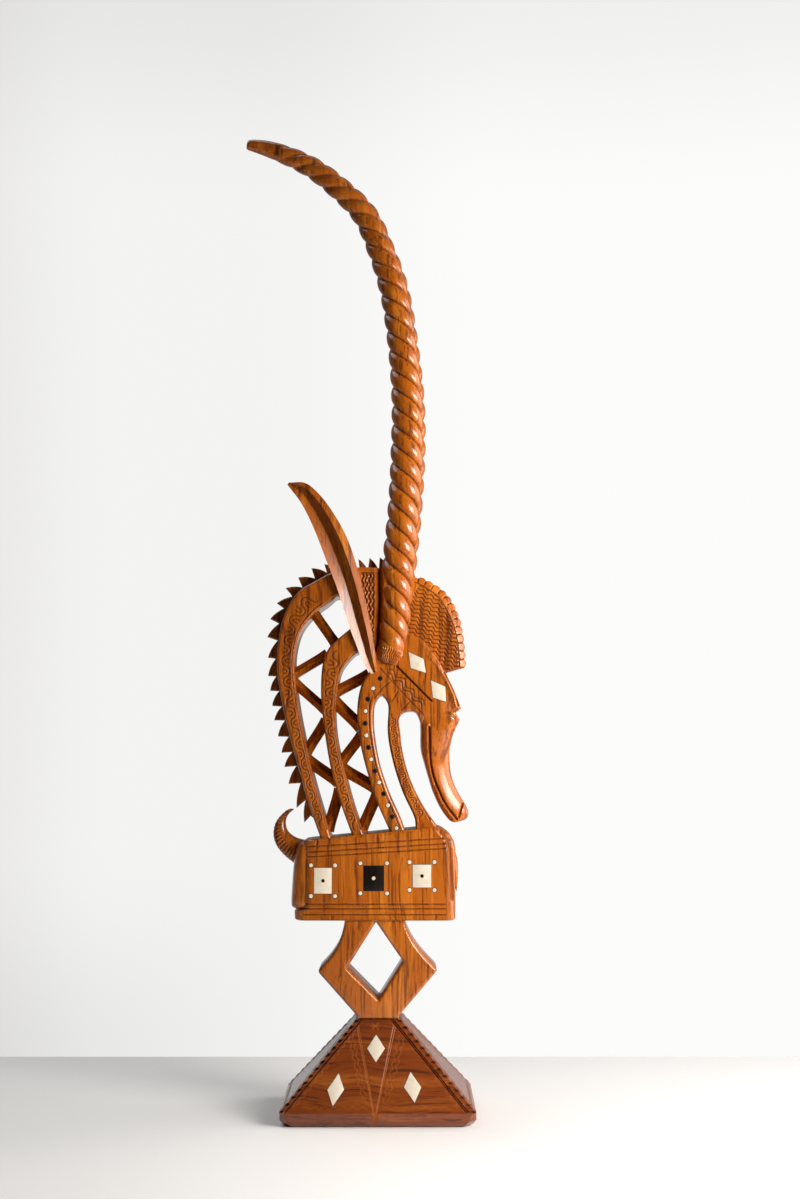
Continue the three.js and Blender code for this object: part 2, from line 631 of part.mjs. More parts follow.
const JAW_EDGE = drawn([
  [34, 112], [38.8, 102], [39.6, 78.7], [43.9, 52.9], [48.4, 37.5], [53.5, 25.8], [60, 15.6],
  [69.5, 8.6],
]);
const NOSE_EDGE = drawn([
  [72, 112], [71.9, 96.8], [66.6, 78.7], [67.8, 52.9], [71.7, 41.3], [76.8, 29.8], [82, 22.5],
  [81.2, 11.5],
]);
const LIPS = drawn([
  [46.6, 96.6], [47, 83.9], [47.9, 65.1], [50.7, 51], [55.4, 38.8], [60.1, 28.6], [65.7, 20.1],
  [72.2, 11.7],
]);
// One ring of the muzzle: share of the way from jaw to nose, and share of the half depth
const MUZZLE_RING = [
  [0, 0], [0.12, 0.62], [0.5, 1], [0.88, 0.62], [1, 0], [0.88, -0.62], [0.5, -1], [0.12, -0.62],
];

const muzzleHalf = (share) => (
  MUZZLE.rootHalf + (MUZZLE.tipHalf - MUZZLE.rootHalf) * share ** MUZZLE.fullness);

function muzzleSolid() {
  const [jaw, nose] = [JAW_EDGE, NOSE_EDGE].map(spline);
  const rings = Array.from({ length: MUZZLE.steps + 1 }, (_, i) => {
    const share = i / MUZZLE.steps;
    return MUZZLE_RING.map(([mix, fullness]) => {
      const p = jaw.getPoint(share).lerp(nose.getPoint(share), mix);
      return new THREE.Vector3(p.x, muzzleHalf(share) * fullness, neckFoot + p.y);
    });
  });
  return cutFrom(loft(rings), [-1, 1].map(mouthCutter));
}

function mouthCutter(side) {
  const lips = smooth(LIPS);
  return loft(lips.map(([x, z], i) => {
    const before = lips[Math.max(i - 1, 0)];
    const after = lips[Math.min(i + 1, lips.length - 1)];
    const t = new THREE.Vector2(after[0] - before[0], after[1] - before[1])
      .setLength(MUZZLE.lipWidth / 2);
    const half = muzzleHalf(i / (lips.length - 1));
    const out = side * (half + MUZZLE.lipDepth);
    return [
      new THREE.Vector3(x - t.y, out, neckFoot + z + t.x),
      new THREE.Vector3(x + t.y, out, neckFoot + z - t.x),
      new THREE.Vector3(x, side * (half * MUZZLE_RING[1][1] + MUZZLE.lipDepth), neckFoot + z),
    ];
  }));
}

// Ears: long leaves with a V-shaped hollow, one on each side of the head

const EAR_REAR = drawn([
  [-85.4, 321.8], [-72.9, 305.4], [-60.8, 281.5], [-48.8, 250.9], [-38.4, 224.1], [-27.6, 190],
  [-20.9, 172.6], [-15.2, 157.8], [-7.3, 146],
]);
const EAR_FRONT = drawn([
  [-83.6, 323.4], [-68.5, 322.6], [-54.5, 311], [-40, 291], [-28.6, 269], [-19.4, 241.4],
  [-12.2, 212.5], [-6.9, 186.7], [-2.8, 159.4], [-1.5, 148],
]);

function earSolid(side) {
  const far = side > 0 ? 1 : 0;
  const [rear, front] = [EAR_REAR, EAR_FRONT].map(spline);
  const shell = NECK.thickness / 2 + EAR.stand;
  const section = [
    [0, EAR.rearRim], [EAR.hollowAt, EAR.hollow], [EAR.foreRimAt, EAR.foreRim], [1, EAR.edge],
    [EAR.foreRimAt, EAR.back], [EAR.backAt, EAR.back],
  ];
  return loft(Array.from({ length: EAR.steps + 1 }, (_, i) => {
    const share = i / EAR.steps;
    const full = Math.sin(Math.PI * (EAR.rootFull + EAR.fullSpan * share)) ** EAR.fullness;
    const skin = shell + EAR.splay * (1 - share);
    const lift = far * Math.sqrt(1 - share);
    return section.map(([mix, height]) => {
      const p = rear.getPointAt(share).lerp(front.getPointAt(share), mix);
      return new THREE.Vector3(p.x - lift * EAR.farBack,
        side * (skin + full * (height + EAR.back)), neckFoot + p.y + lift * EAR.farRise);
    });
  }));
}

// Horns: a twisted rope form swept along a long backward curve

const HORN_LINE = drawn([             // x, height above the back, radius
  [8.1, 155.5, 7], [9.4, 162, 10.5], [13.3, 178, 13.1], [16.2, 215.5, 14.3], [18.8, 253.3, 15.2],
  [23.3, 300.7, 15], [26.2, 357.9, 15], [26.1, 406, 14.3], [21.4, 459.1, 13.3],
  [13, 512.7, 12.9], [0.6, 551.7, 12], [-15, 586.3, 11.3], [-40.7, 613.2, 10.3],
  [-65.1, 632.2, 9.5], [-92, 645.5, 8.4], [-112.3, 652.5, 6.8], [-127.2, 655.7, 4.8],
]);

function hornSolid(side) {
  const far = side > 0 ? 1 : 0;
  const rise = HORN_LINE[HORN_LINE.length - 1][1] - HORN_LINE[0][1];
  const line = new THREE.CatmullRomCurve3(HORN_LINE.map(([x, z, r]) => {
    const share = (z - HORN_LINE[0][1]) / rise;
    return new THREE.Vector3(
      x + far * HORN.farForward * Math.sin(Math.PI * share), z + far * HORN.farRise * share, r);
  }));
  const length = line.getLength();
  const count = Math.round(length / HORN.step);
  const sides = HORN.strands * 3;
  return loft(Array.from({ length: count + 1 }, (_, i) => {
    const share = i / count;
    const at = line.getPointAt(share);
    const t = line.getTangentAt(share);
    const across = new THREE.Vector2(t.y, -t.x).normalize();
    const run = share * length;
    const rooted = Math.min(run / HORN.plainRoot, 1);
    const fade = rooted * Math.min(Math.max((length - run - HORN.plainTip) / HORN.step, 0), 1);
    const turn = (-2 * Math.PI * run) / HORN.lead;
    const apart = HORN.apart / 2 + HORN.rootOut * (1 - rooted);
    return Array.from({ length: sides }, (_, k) => {
      const a = (2 * Math.PI * k) / sides + turn;
      const r = at.z * (1 + fade * (k % 3 === 0 ? -HORN.groove : HORN.swell));
      const out = r * Math.cos(a);
      return new THREE.Vector3(
        at.x + across.x * out, side * (apart - r * Math.sin(a)), neckFoot + at.y + across.y * out);
    });
  }));
}

// Inlays of the figure

function figureInlays() {
  const list = [];
  for (const [tag, flip, face] of [['near', 1, nearFace], ['far', -1, farFace]]) {
    const body = face(BODY.depth / 2, bodyFoot);
    const head = face(NECK.thickness / 2, neckFoot);
    for (const { name, x, z, width, height, kind } of RECTANGLES) {
      const [cx, w, h] = [flip * x, width / 2, height / 2];
      const outline = [[cx - w, z - h], [cx + w, z - h], [cx + w, z + h], [cx - w, z + h]];
      const eye = disc(cx, z, INLAY.centreRadius);
      const other = kind === 'bone' ? 'ebony' : 'bone';
      list.push({ name: `${tag}_${name}_tile`, kind, outline, depth: INLAY.depth, frame: body, eye });
      list.push({
        name: `${tag}_${name}_tile_peg`, kind: other, outline: eye, depth: INLAY.eyeDepth,
        frame: body, set: true,
      });
      if (tag === 'near') {
        for (const [label, sx, sz] of [['a', -1, 1], ['b', 1, 1], ['c', -1, -1], ['d', 1, -1]]) {
          const [px, pz] = [x + sx * (w + CORNER_PEG_OUT.x), z + sz * (h + CORNER_PEG_OUT.z)];
          list.push({
            name: `${name}_tile_corner_peg_${label}`, kind: 'bone',
            outline: disc(px, pz, INLAY.pegRadius), depth: INLAY.pegDepth, frame: body,
          });
        }
      }
    }
    for (const { name, corners } of HEAD_DIAMONDS) {
      const outline = drawn(corners).map(([x, z]) => [flip * x, z]);
      list.push({ name: `${tag}_${name}_diamond`, kind: 'bone', outline, depth: INLAY.depth, frame: head });
    }
  }
  return list;
}

// A row of pegs right through the third rib, ebony and bone by turns
const PEG_ROW = drawn([[1.2, 141.6], [-9.5, 124.8], [-12.6, 101.5], [-7, 67], [4.6, 35.2], [16.4, 3.9]]);

function strutPegs() {
  return spline(PEG_ROW).getSpacedPoints(STRUT_PEGS.count - 1).map((p, i) => ({
    name: `rib_peg_${String(i + 1).padStart(2, '0')}`,
    kind: i % 2 ? STRUT_PEGS.second : STRUT_PEGS.first,
    outline: disc(p.x, p.y, INLAY.pegRadius),
    depth: NECK.thickness,
    frame: nearFace(NECK.thickness / 2, neckFoot),
    through: true,
  }));
}

function inlaySolid({ outline, depth, frame, eye }) {
  const piece = slab(outline, depth, frame);
  return eye ? piece.subtract(slab(grown(eye, GAP), depth + GAP, frame, INLAY.proudCut)) : piece;
}

const recess = ({ outline, depth, frame, through }) => slab(
  grown(outline, GAP), depth + GAP + (through ? 2 : 1) * INLAY.proudCut, frame, INLAY.proudCut);

// The finished pieces

function piece(name, solid, colour) {
  const material = new THREE.MeshStandardMaterial({ ...COLOURS[colour], metalness: 0 });
  const mesh = new THREE.Mesh(toGeometry(solid), material);
  mesh.name = name;
  return mesh;
}

const headdress = new THREE.Group();

const slopeInlays = plinthInlays();
const plinthSolid = cutFrom(plinthBlock(), [
  ...cornerNotches(), ...plinthGrooves(), ...frontLines(), ...slopeInlays.map(recess)]);
headdress.add(piece('plinth', plinthSolid, 'plinthWood'));

const inlays = [...figureInlays(), ...strutPegs()];
const head = joined([
  neckSolid(), ...braceSolids(), maneSolid(),
  cutFrom(crestSolid(), crestLocks()), muzzleSolid(),
]);
const carved = joined([
  rhombSolid(), cutFrom(bodySolid(), bodyGrooves()),
  upright(RUMP_SIDE, RUMP.thickness, bodyFoot),
  upright([...smooth(CHEST_OUTER), ...CHEST_INNER], CHEST.thickness, bodyFoot), tailSolid(),
  cutFrom(head, hairGrooves()), earSolid(-1), earSolid(1), hornSolid(-1), hornSolid(1),
]);
const figureSolid = cutFrom(carved, inlays.filter(({ set }) => !set).map(recess));
headdress.add(piece('figure', figureSolid, 'figureWood'));

for (const inlay of [...slopeInlays, ...inlays]) {
  headdress.add(piece(inlay.name, inlaySolid(inlay), inlay.kind));
}

export default headdress;
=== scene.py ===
"""A chiwara headdress: a carved, varnished antelope on a pyramid plinth, in a pale studio."""

import math

import bmesh
import bpy
import numpy as np
from mathutils import Matrix, Vector
from mathutils.kdtree import KDTree


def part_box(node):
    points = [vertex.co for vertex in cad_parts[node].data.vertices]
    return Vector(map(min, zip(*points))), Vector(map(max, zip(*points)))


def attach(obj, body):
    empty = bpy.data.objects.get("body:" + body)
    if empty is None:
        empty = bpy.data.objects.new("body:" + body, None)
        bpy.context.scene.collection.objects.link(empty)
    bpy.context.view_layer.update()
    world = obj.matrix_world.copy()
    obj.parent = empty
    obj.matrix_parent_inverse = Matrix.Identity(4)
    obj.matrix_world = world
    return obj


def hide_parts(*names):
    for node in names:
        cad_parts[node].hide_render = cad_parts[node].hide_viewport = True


bl_info = {
    "name": "Chiwara headdress",
    "version": (1, 0, 0),
    "blender": (4, 5, 0),
    "location": "3D View > Sidebar > Headdress",
    "description": "Carves the headdress, its plinth and its inlays, and lights them",
    "category": "Object",
}

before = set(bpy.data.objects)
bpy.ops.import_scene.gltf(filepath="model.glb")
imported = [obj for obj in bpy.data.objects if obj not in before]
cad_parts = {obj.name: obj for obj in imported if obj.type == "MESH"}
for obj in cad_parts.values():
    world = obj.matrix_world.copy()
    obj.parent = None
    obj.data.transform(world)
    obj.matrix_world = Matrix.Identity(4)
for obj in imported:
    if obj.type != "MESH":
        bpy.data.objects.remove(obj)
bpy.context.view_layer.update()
MM = 0.001

# The sizes that several pieces share, in millimetres
PLINTH_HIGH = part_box("plinth")[1] / MM
PLINTH_BAND, PLINTH_TOP_X, PLINTH_TOP_Y = 13, 20.5, 25.5
SLOPE_RISE = PLINTH_HIGH.z - PLINTH_BAND
SLOPE_LENGTH = math.hypot(PLINTH_HIGH.y - PLINTH_TOP_Y, SLOPE_RISE)
STAND_HEIGHT, BODY_HEIGHT = 88.7, 79.5
FIGURE_FOOT = (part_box("figure")[0] / MM).z
BODY_FOOT = FIGURE_FOOT + STAND_HEIGHT
NECK_FOOT = BODY_FOOT + BODY_HEIGHT
BODY_FACE, NECK_FACE = 28, 23
TILE_DEPTH, EYE_DEPTH, PEG_DEPTH, GLUE_DEPTH = 3.5, 2, 6, 3
EYE_RADIUS, PEG_RADIUS = 1.75, 2.1
CORNER_PEG_OUT = (2.8, 2.2)


# Sizes and colours

def length(name, description, default):
    return bpy.props.FloatProperty(
        name=name, description=description, default=default * MM, unit="LENGTH", precision=4)


def colour(name, description, default):
    return bpy.props.FloatVectorProperty(
        name=name, description=description, default=default, subtype="COLOR", min=0, max=1)


class HeaddressSizes(bpy.types.PropertyGroup):
    """Sizes of the carving"""
    net: length("Net", "Spacing of the net that carries the carving", 0.68)
    edge_round: length("Edge round", "How far the arrises are rubbed round", 2.4)
    rope_lead: length("Rope lead", "Rise of one full turn of a horn's strands", 55)
    rope_depth: bpy.props.FloatProperty(
        name="Rope depth", description="Depth of the horn's grooves as a share of its radius",
        default=0.25, min=0, max=0.4, subtype="FACTOR")
    line_depth: length("Line depth", "Depth of the thin cut lines", 0.6)
    proud: length("Proud", "How far the inlays stand out of the wood", 0.12)


class HeaddressColours(bpy.types.PropertyGroup):
    """Colours of the woods and inlays"""
    figure_light: colour("Figure light", "Light bands of the figure's wood", (0.74, 0.235, 0.022))
    figure_mid: colour("Figure middle", "Main colour of the figure's wood", (0.45, 0.112, 0.007))
    figure_dark: colour("Figure dark", "Dark lines of the figure's wood", (0.075, 0.013, 0.002))
    plinth_light: colour("Plinth light", "Light bands of the plinth's wood", (0.36, 0.095, 0.014))
    plinth_mid: colour("Plinth middle", "Main colour of the plinth's wood", (0.21, 0.043, 0.006))
    plinth_dark: colour("Plinth dark", "Dark lines of the plinth's wood", (0.045, 0.010, 0.004))
    bone: colour("Bone", "Bone inlays", (0.72, 0.64, 0.52))
    ebony: colour("Ebony", "Ebony inlays", (0.005, 0.003, 0.002))


def sizes():
    return bpy.context.scene.headdress_sizes


def colours():
    return bpy.context.scene.headdress_colours


# Materials

class Value:
    """A socket that adds its Math node when it meets an operator."""

    def __init__(self, finish, socket):
        self.finish = finish
        self.socket = socket

    def math(self, operation, *operands):
        return self.finish.add("ShaderNodeMath", {"operation": operation}, *operands)

    def __add__(self, other):
        return self.math("ADD", self, other)

    def __sub__(self, other):
        return self.math("SUBTRACT", self, other)

    def __rsub__(self, other):
        return self.math("SUBTRACT", other, self)

    def __mul__(self, other):
        return self.math("MULTIPLY", self, other)

    __radd__ = __add__
    __rmul__ = __mul__


class Nodes:
    """The nodes of one material or of the world."""

    def __init__(self, tree):
        self.tree = tree

    def join(self, value, socket):
        if isinstance(value, Value):
            self.tree.links.new(value.socket, socket)
        else:
            socket.default_value = value

    def add(self, kind, settings=None, *operands, output=0, **sockets):
        node = self.tree.nodes.new(kind)
        for name, value in (settings or {}).items():
            if name == "stops":
                ramp = node.color_ramp
                while len(ramp.elements) < len(value):
                    ramp.elements.new(1)
                for element, (position, tint) in zip(ramp.elements, value):
                    element.position = position
                    element.color = (*tint, 1)
            else:
                setattr(node, name, value)
        for socket, value in zip(node.inputs, operands):
            self.join(value, socket)
        for name, value in sockets.items():
            self.join(value, node.inputs[name.replace("_", " ")])
        return Value(self, node.outputs[output])

    def mix(self, share, low, high):
        node = self.tree.nodes.new("ShaderNodeMix")
        node.data_type = "RGBA"
        self.join(share, node.inputs["Factor"])
        for value, socket in ((low, node.inputs[6]), (high, node.inputs[7])):
            self.join(value if isinstance(value, Value) else (*value, 1), socket)
        return Value(self, node.outputs[2])

    def noise(self, place, scale, detail=3, roughness=0.55, distortion=0):
        return self.add("ShaderNodeTexNoise", Vector=place, Scale=scale, Detail=detail,
                        Roughness=roughness, Distortion=distortion)

    def spread(self, value, low, high):
        return self.add("ShaderNodeMapRange", {"interpolation_type": "SMOOTHSTEP"},
                        value, low, high, 0, 1)


class Finish(Nodes):
    """A material with its shader's constants."""

    def __init__(self, name, **constants):
        self.material = bpy.data.materials.new(name)
        self.material.use_nodes = True
        super().__init__(self.material.node_tree)
        self.shader = self.tree.nodes["Principled BSDF"]
        for socket, value in constants.items():
            self.set(socket.replace("_", " ").title().replace("Ior", "IOR"), value)

    def set(self, socket, value):
        self.join(value, self.shader.inputs[socket])


def varnished_wood(name, light, middle, dark, along, across):
    """Rosewood under varnish: broad bands, dark growth lines and fine pores along the grain, with
    painted shade towards the left and in the cuts.
    """
    finish = Finish(name, coat_roughness=0.22, coat_ior=1.5, specular_ior_level=0.12)
    place = finish.add("ShaderNodeTexCoord", output="Object")
    bent = finish.noise(place, 9, 2)
    sway = finish.add("ShaderNodeVectorMath", {"operation": "MULTIPLY_ADD"}, bent, across, place)
    grain = finish.add("ShaderNodeMapping", None, Vector=sway, Scale=along)
    bands = finish.noise(grain, 75, 4, 0.6, 0.3)
    lines = finish.noise(grain, 340, 5, 0.6, 0.4)
    pores = finish.noise(grain, 1100, 2, 0.5)
    tone = finish.add("ShaderNodeValToRGB", {"stops": [
        (0.28, tuple(dark)), (0.4, tuple(middle)), (0.54, tuple(middle)),
        (0.74, tuple(light))]}, bands)
    streak = finish.spread(lines, 0.5, 0.64)
    fleck = finish.spread(pores, 0.55, 0.7)
    # Painted shade: the wood darkens towards the left (negative x), where the key light falls off.
    painted_shade_x = finish.add("ShaderNodeSeparateXYZ", None, place, output=0)
    tone = finish.mix(0.3 - 0.3 * finish.spread(painted_shade_x, -0.09, 0.06), tone, dark)
    wood = finish.mix(streak * 0.72, tone, dark)
    wood = finish.mix(fleck * 0.5, wood, dark)
    # The carved attribute darkens the cuts: partly pooled varnish and dirt in the grooves, partly
    # painted shade in them. Negative values mark scratches of lighter wood.
    carved = finish.add("ShaderNodeAttribute", {"attribute_name": "carved"}, output="Fac")
    cut = carved.math("MAXIMUM", carved, 0)
    scratch = carved.math("MAXIMUM", carved * -1, 0)
    wood = finish.mix(cut * 0.8, wood, tuple(0.3 * c for c in dark))
    wood = finish.mix(scratch * 0.7, wood, tuple(0.9 * c for c in light))
    finish.set("Base Color", wood)
    finish.set("Roughness", 0.3 + 0.1 * streak + 0.3 * cut)
    bare = 0.9 - 4 * (cut + scratch)
    finish.set("Coat Weight", bare.math("MAXIMUM", bare, 0))
    bump = finish.add("ShaderNodeBump", None, Strength=0.12, Distance=0.0004, Height=1 - fleck)
    finish.set("Normal", bump)
    return finish.material


def bone_finish(name):
    """Polished bone with faint fibres and stains."""
    finish = Finish(name, coat_weight=0.35, coat_roughness=0.12)
    place = finish.add("ShaderNodeTexCoord", output="Object")
    fibre = finish.add("ShaderNodeMapping", None, Vector=place, Scale=(1, 1, 0.12))
    stain = finish.noise(place, 140, 4)
    thread = finish.noise(fibre, 900, 3)
    tint = tuple(colours().bone)
    dull = tuple(c * k for c, k in zip(tint, (0.80, 0.74, 0.60)))
    finish.set("Base Color", finish.mix(
        finish.spread(stain, 0.45, 0.75) * 0.55 + finish.spread(thread, 0.5, 0.8) * 0.2,
        tint, dull))
    finish.set("Roughness", 0.3 + 0.15 * stain)
    return finish.material


def ebony_finish(name):
    """Black wood with faint brown fibres."""
    finish = Finish(name, coat_weight=0.1, coat_roughness=0.12, specular_ior_level=0.15)
    place = finish.add("ShaderNodeTexCoord", output="Object")
    fibre = finish.add("ShaderNodeMapping", None, Vector=place, Scale=(1, 1, 0.06))
    thread = finish.noise(fibre, 500, 3)
    tint = tuple(colours().ebony)
    finish.set("Base Color", finish.mix(
        finish.spread(thread, 0.45, 0.75), tint, (0.014, 0.006, 0.004)))
    finish.set("Roughness", 0.32 + 0.15 * thread)
    return finish.material


def glue_finish(name):
    """The dark line of glue round an inlay."""
    finish = Finish(name)
    place = finish.add("ShaderNodeTexCoord", output="Object")
    patch = finish.noise(place, 300, 3)
    finish.set("Base Color", finish.mix(patch, (0.012, 0.005, 0.003), (0.05, 0.018, 0.008)))
    finish.set("Roughness", 0.5 + 0.2 * patch)
    return finish.material


def table_finish(name):
    """Matt white paint."""
    finish = Finish(name)
    place = finish.add("ShaderNodeTexCoord", output="Object")
    patch = finish.noise(place, 2, 2)
    finish.set("Base Color", finish.mix(patch, (0.92, 0.92, 0.92), (0.95, 0.95, 0.95)))
    finish.set("Roughness", 0.5 + 0.1 * patch)
    return finish.material


def material(slot):
    """The finish of a slot, made the first time it is asked for."""
    name = f"{slot}_finish"
    if name in bpy.data.materials:
        return bpy.data.materials[name]
    tints = colours()
    if slot == "figure_wood":
        return varnished_wood(name, tints.figure_light, tints.figure_mid, tints.figure_dark,
                              (1, 1, 0.035), (0.02, 0.02, 0))
    if slot == "plinth_wood":
        return varnished_wood(name, tints.plinth_light, tints.plinth_mid, tints.plinth_dark,
                              (0.04, 1, 1), (0, 0.03, 0.03))
    return {"bone": bone_finish, "ebony": ebony_finish, "glue": glue_finish,
            "table": table_finish}[slot](name)


# Curves and nets

def unit(vectors):
    """The same directions, each of length one."""
    return vectors / np.linalg.norm(vectors, axis=-1, keepdims=True)


def cross(a, b):
    """The cross products of rows of flat directions."""
    return a[:, 0] * b[:, 1] - a[:, 1] * b[:, 0]


def swollen(shares, power):
    """Shares from -1 to 1 raised to a power, each with its own sign."""
    return np.sign(shares) * np.abs(shares) ** power


def way_along(points):
    """How far along a line each of its points lies."""
    return np.concatenate([[0], np.cumsum(np.linalg.norm(np.diff(points, axis=0), axis=1))])


def smooth_line(points, count):
    """Evenly spaced points on a smooth curve through the given ones."""
    p = np.array(points, float)
    span = np.sqrt(np.linalg.norm(np.diff(p, axis=0), axis=1))[:, None]
    slope = np.diff(p, axis=0) / span
    inner = (slope[:-1] * span[1:] + slope[1:] * span[:-1]) / (span[1:] + span[:-1])
    tangent = np.vstack([slope[:1], inner, slope[-1:]])
    t = np.linspace(0, len(p) - 1, 24 * len(p))
    i = np.minimum(t.astype(int), len(p) - 2)
    f, h = (t - i)[:, None], span[i]
    dense = (p[i] * (1 + 2 * f) * (1 - f) ** 2 + tangent[i] * h * f * (1 - f) ** 2
             + p[i + 1] * f ** 2 * (3 - 2 * f) + tangent[i + 1] * h * f ** 2 * (f - 1))
    return evenly(dense, count)


def evenly(points, count):
    """The same line in count + 1 points, an equal way apart."""
    p = np.array(points, float)
    run = way_along(p)
    at = np.linspace(0, run[-1], count + 1)
    return np.column_stack([np.interp(at, run, column) for column in p.T])


def walked(line, spacing=0.2):
    """The line in points about the spacing apart."""
    p = np.array(line, float)
    total = np.linalg.norm(np.diff(p, axis=0), axis=1).sum()
    return evenly(p, max(int(total / spacing), 1))


def nearest(points, lines):
    """How far each point lies from the lines, and the nearest place on them."""
    dense = np.vstack([walked(line) for line in lines])
    tree = KDTree(len(dense))
    for i, (x, y) in enumerate(dense):
        tree.insert((x, y, 0), i)
    tree.balance()
    found = [tree.find((x, y, 0)) for x, y in points]
    return np.array([f[2] for f in found]), np.array([f[0][:2] for f in found])


def engrave(points, cuts, cell):
    """Draws the net onto the cut lines: its points, how deep each lies and how dark it is."""
    points = points.copy()
    drop, dark = np.zeros(len(points)), np.zeros(len(points))
    for lines, half, depth in cuts:
        away, place = nearest(points, lines)
        pull = away < 0.55 * cell
        points[pull] = place[pull]
        away[pull] = 0
        share = np.clip(1 - away / half, 0, 1)
        drop = np.maximum(drop, depth * share)
        # Deeper cuts darken more: partly painted shade, partly the grime of the grooves.
        dark = np.maximum(dark, min(depth / 0.6, 1) * share)
    return points, drop, dark


def inside(points, ring):
    """Which points lie inside a closed outline."""
    x, z = points.T
    result = np.zeros(len(points), bool)
    for (x0, z0), (x1, z1) in zip(ring, np.roll(ring, -1, axis=0)):
        if z0 != z1:
            crossed = (z0 > z) != (z1 > z)
            result ^= crossed & (x < (x1 - x0) * (z - z0) / (z1 - z0) + x0)
    return result


def flat_net(outline, holes, cell):
    """A net of squares in the XZ plane that fills an outline and is drawn to its edge."""
    rings = [np.array(ring, float) for ring in (outline, *holes)]
    low, high = rings[0].min(0) - cell, rings[0].max(0) + cell
    count = np.ceil((high - low) / cell).astype(int)
    bm = bmesh.new()
    bm.verts.layers.float.new("carved")
    bmesh.ops.create_grid(bm, x_segments=int(count[0]), y_segments=int(count[1]), size=0.5)
    middle = (low + high) / 2
    for vert in bm.verts:
        vert.co = (middle[0] + vert.co.x * count[0] * cell, 0,
                   middle[1] + vert.co.y * count[1] * cell)
    centres = np.array([face.calc_center_median().xz for face in bm.faces])
    kept = inside(centres, rings[0])
    for hole in rings[1:]:
        kept &= ~inside(centres, hole)
    bmesh.ops.delete(bm, geom=[f for f, k in zip(bm.faces, kept) if not k], context="FACES")
    rim = [v for v in bm.verts if v.is_boundary]
    spots = np.array([v.co.xz for v in rim])
    closed = [np.vstack([ring, ring[:1]]) for ring in rings]
    _, place = nearest(spots, closed)
    for vert, (x, z) in zip(rim, place):
        vert.co = (x, 0, z)
    for ring in rings:
        before = ring - np.roll(ring, 1, axis=0)
        after = np.roll(ring, -1, axis=0) - ring
        turn = np.arctan2(cross(before, after), (before * after).sum(1))
        for corner in ring[np.abs(turn) > 0.6]:
            vert = rim[int(np.argmin(((place - corner) ** 2).sum(1)))]
            vert.co = (corner[0], 0, corner[1])
    ease = {v for r in rim for e in r.link_edges for v in e.verts if not v.is_boundary}
    for _ in range(2):
        bmesh.ops.smooth_vert(bm, verts=list(ease), factor=0.5, use_axis_x=True, use_axis_z=True)
    return bm, closed


def carved_board(outline, holes, cell, half, foot, round_edge, cuts=(), shape=None):
    """A board on the middle plane, rubbed round at its edges and cut alike on both faces."""
    bm, rings = flat_net(outline, holes, cell)
    verts = list(bm.verts)
    rim = np.array([v.is_boundary for v in verts])
    spots = np.array([v.co.xz for v in verts])
    moved, drop, dark = engrave(spots, cuts, cell)
    moved[rim] = spots[rim]
    away, _ = nearest(moved, rings)
    near_edge = np.clip(round_edge - away, 0, round_edge)
    drop = np.maximum(drop, round_edge - np.sqrt(round_edge ** 2 - near_edge ** 2)
                      + drop * (near_edge <= 0))
    depth = half - drop
    if shape is not None:
        depth = shape(moved, depth)
    carved = bm.verts.layers.float["carved"]
    for vert, (x, z), y, d in zip(verts, moved, depth, dark):
        vert.co = (x, -y, foot + z)
        vert[carved] = d
    copies = bmesh.ops.extrude_face_region(bm, geom=bm.faces[:])
    for vert in (g for g in copies["geom"] if isinstance(g, bmesh.types.BMVert)):
        vert.co.y *= -1
    return bm


def sheet(bm, columns, rows, place):
    """A net of squares, closed round u and at both ends, as place(u, v) lays and darkens it."""
    made = bmesh.ops.create_grid(bm, x_segments=columns, y_segments=rows, size=0.5,
                                 calc_uvs=True)["verts"]
    uv = np.array([v.co.xy for v in made]) + 0.5
    spots, dark = place(uv[:, 0], uv[:, 1])
    carved = bm.verts.layers.float["carved"]
    for vert, spot, value in zip(made, spots, np.broadcast_to(dark, len(made))):
        vert.co = spot
        vert[carved] = value
    bmesh.ops.remove_doubles(bm, verts=made, dist=1e-3)
    ends = {e for v in made if v.is_valid for e in v.link_edges if e.is_boundary}
    bmesh.ops.holes_fill(bm, edges=list(ends), sides=0)


def new_net():
    """An empty mesh with the layers that a sheet fills in."""
    bm = bmesh.new()
    bm.loops.layers.uv.new("UVMap")
    bm.verts.layers.float.new("carved")
    return bm


def rows_at(table, v):
    """The smooth row of a table of sections at each share v of the way along it."""
    dense = smooth_line(table, 400)
    at = np.linspace(0, 1, len(dense))
    return np.column_stack([np.interp(v, at, column) for column in dense.T])


def faceted(ridges, steps):
    """A closed section through the ridges, with each facet in even steps."""
    return np.vstack([
        *(evenly(pair, steps)[:-1] for pair in zip(ridges, ridges[1:])), ridges[:1]])


def put_in_scene(name, data):
    """A new object of the scene with this data."""
    thing = bpy.data.objects.new(name, data)
    bpy.context.scene.collection.objects.link(thing)
    return thing


def finish_piece(name, bm, finish, nodes=(), crease=38):
    """Makes the mesh in metres, with its material, and lets it ride on the frame."""
    bmesh.ops.scale(bm, vec=(MM, MM, MM), verts=bm.verts)
    bmesh.ops.recalc_face_normals(bm, faces=bm.faces)
    mesh = bpy.data.meshes.new(name)
    bm.to_mesh(mesh)
    bm.free()
    mesh.shade_smooth()
    mesh.set_sharp_from_angle(angle=math.radians(crease))
    mesh.materials.append(material(finish))
    piece = put_in_scene(name, mesh)
    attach(piece, "root")
    if nodes:
        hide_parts(*nodes)


def finish_carving(name, bm, crease=38):
    """Finishes a piece of the figure, which is one block of wood."""
    finish_piece(name, bm, "figure_wood", ["figure"], crease)


# Outlines of the figure, in millimetres: x, and height above the back for the neck and head

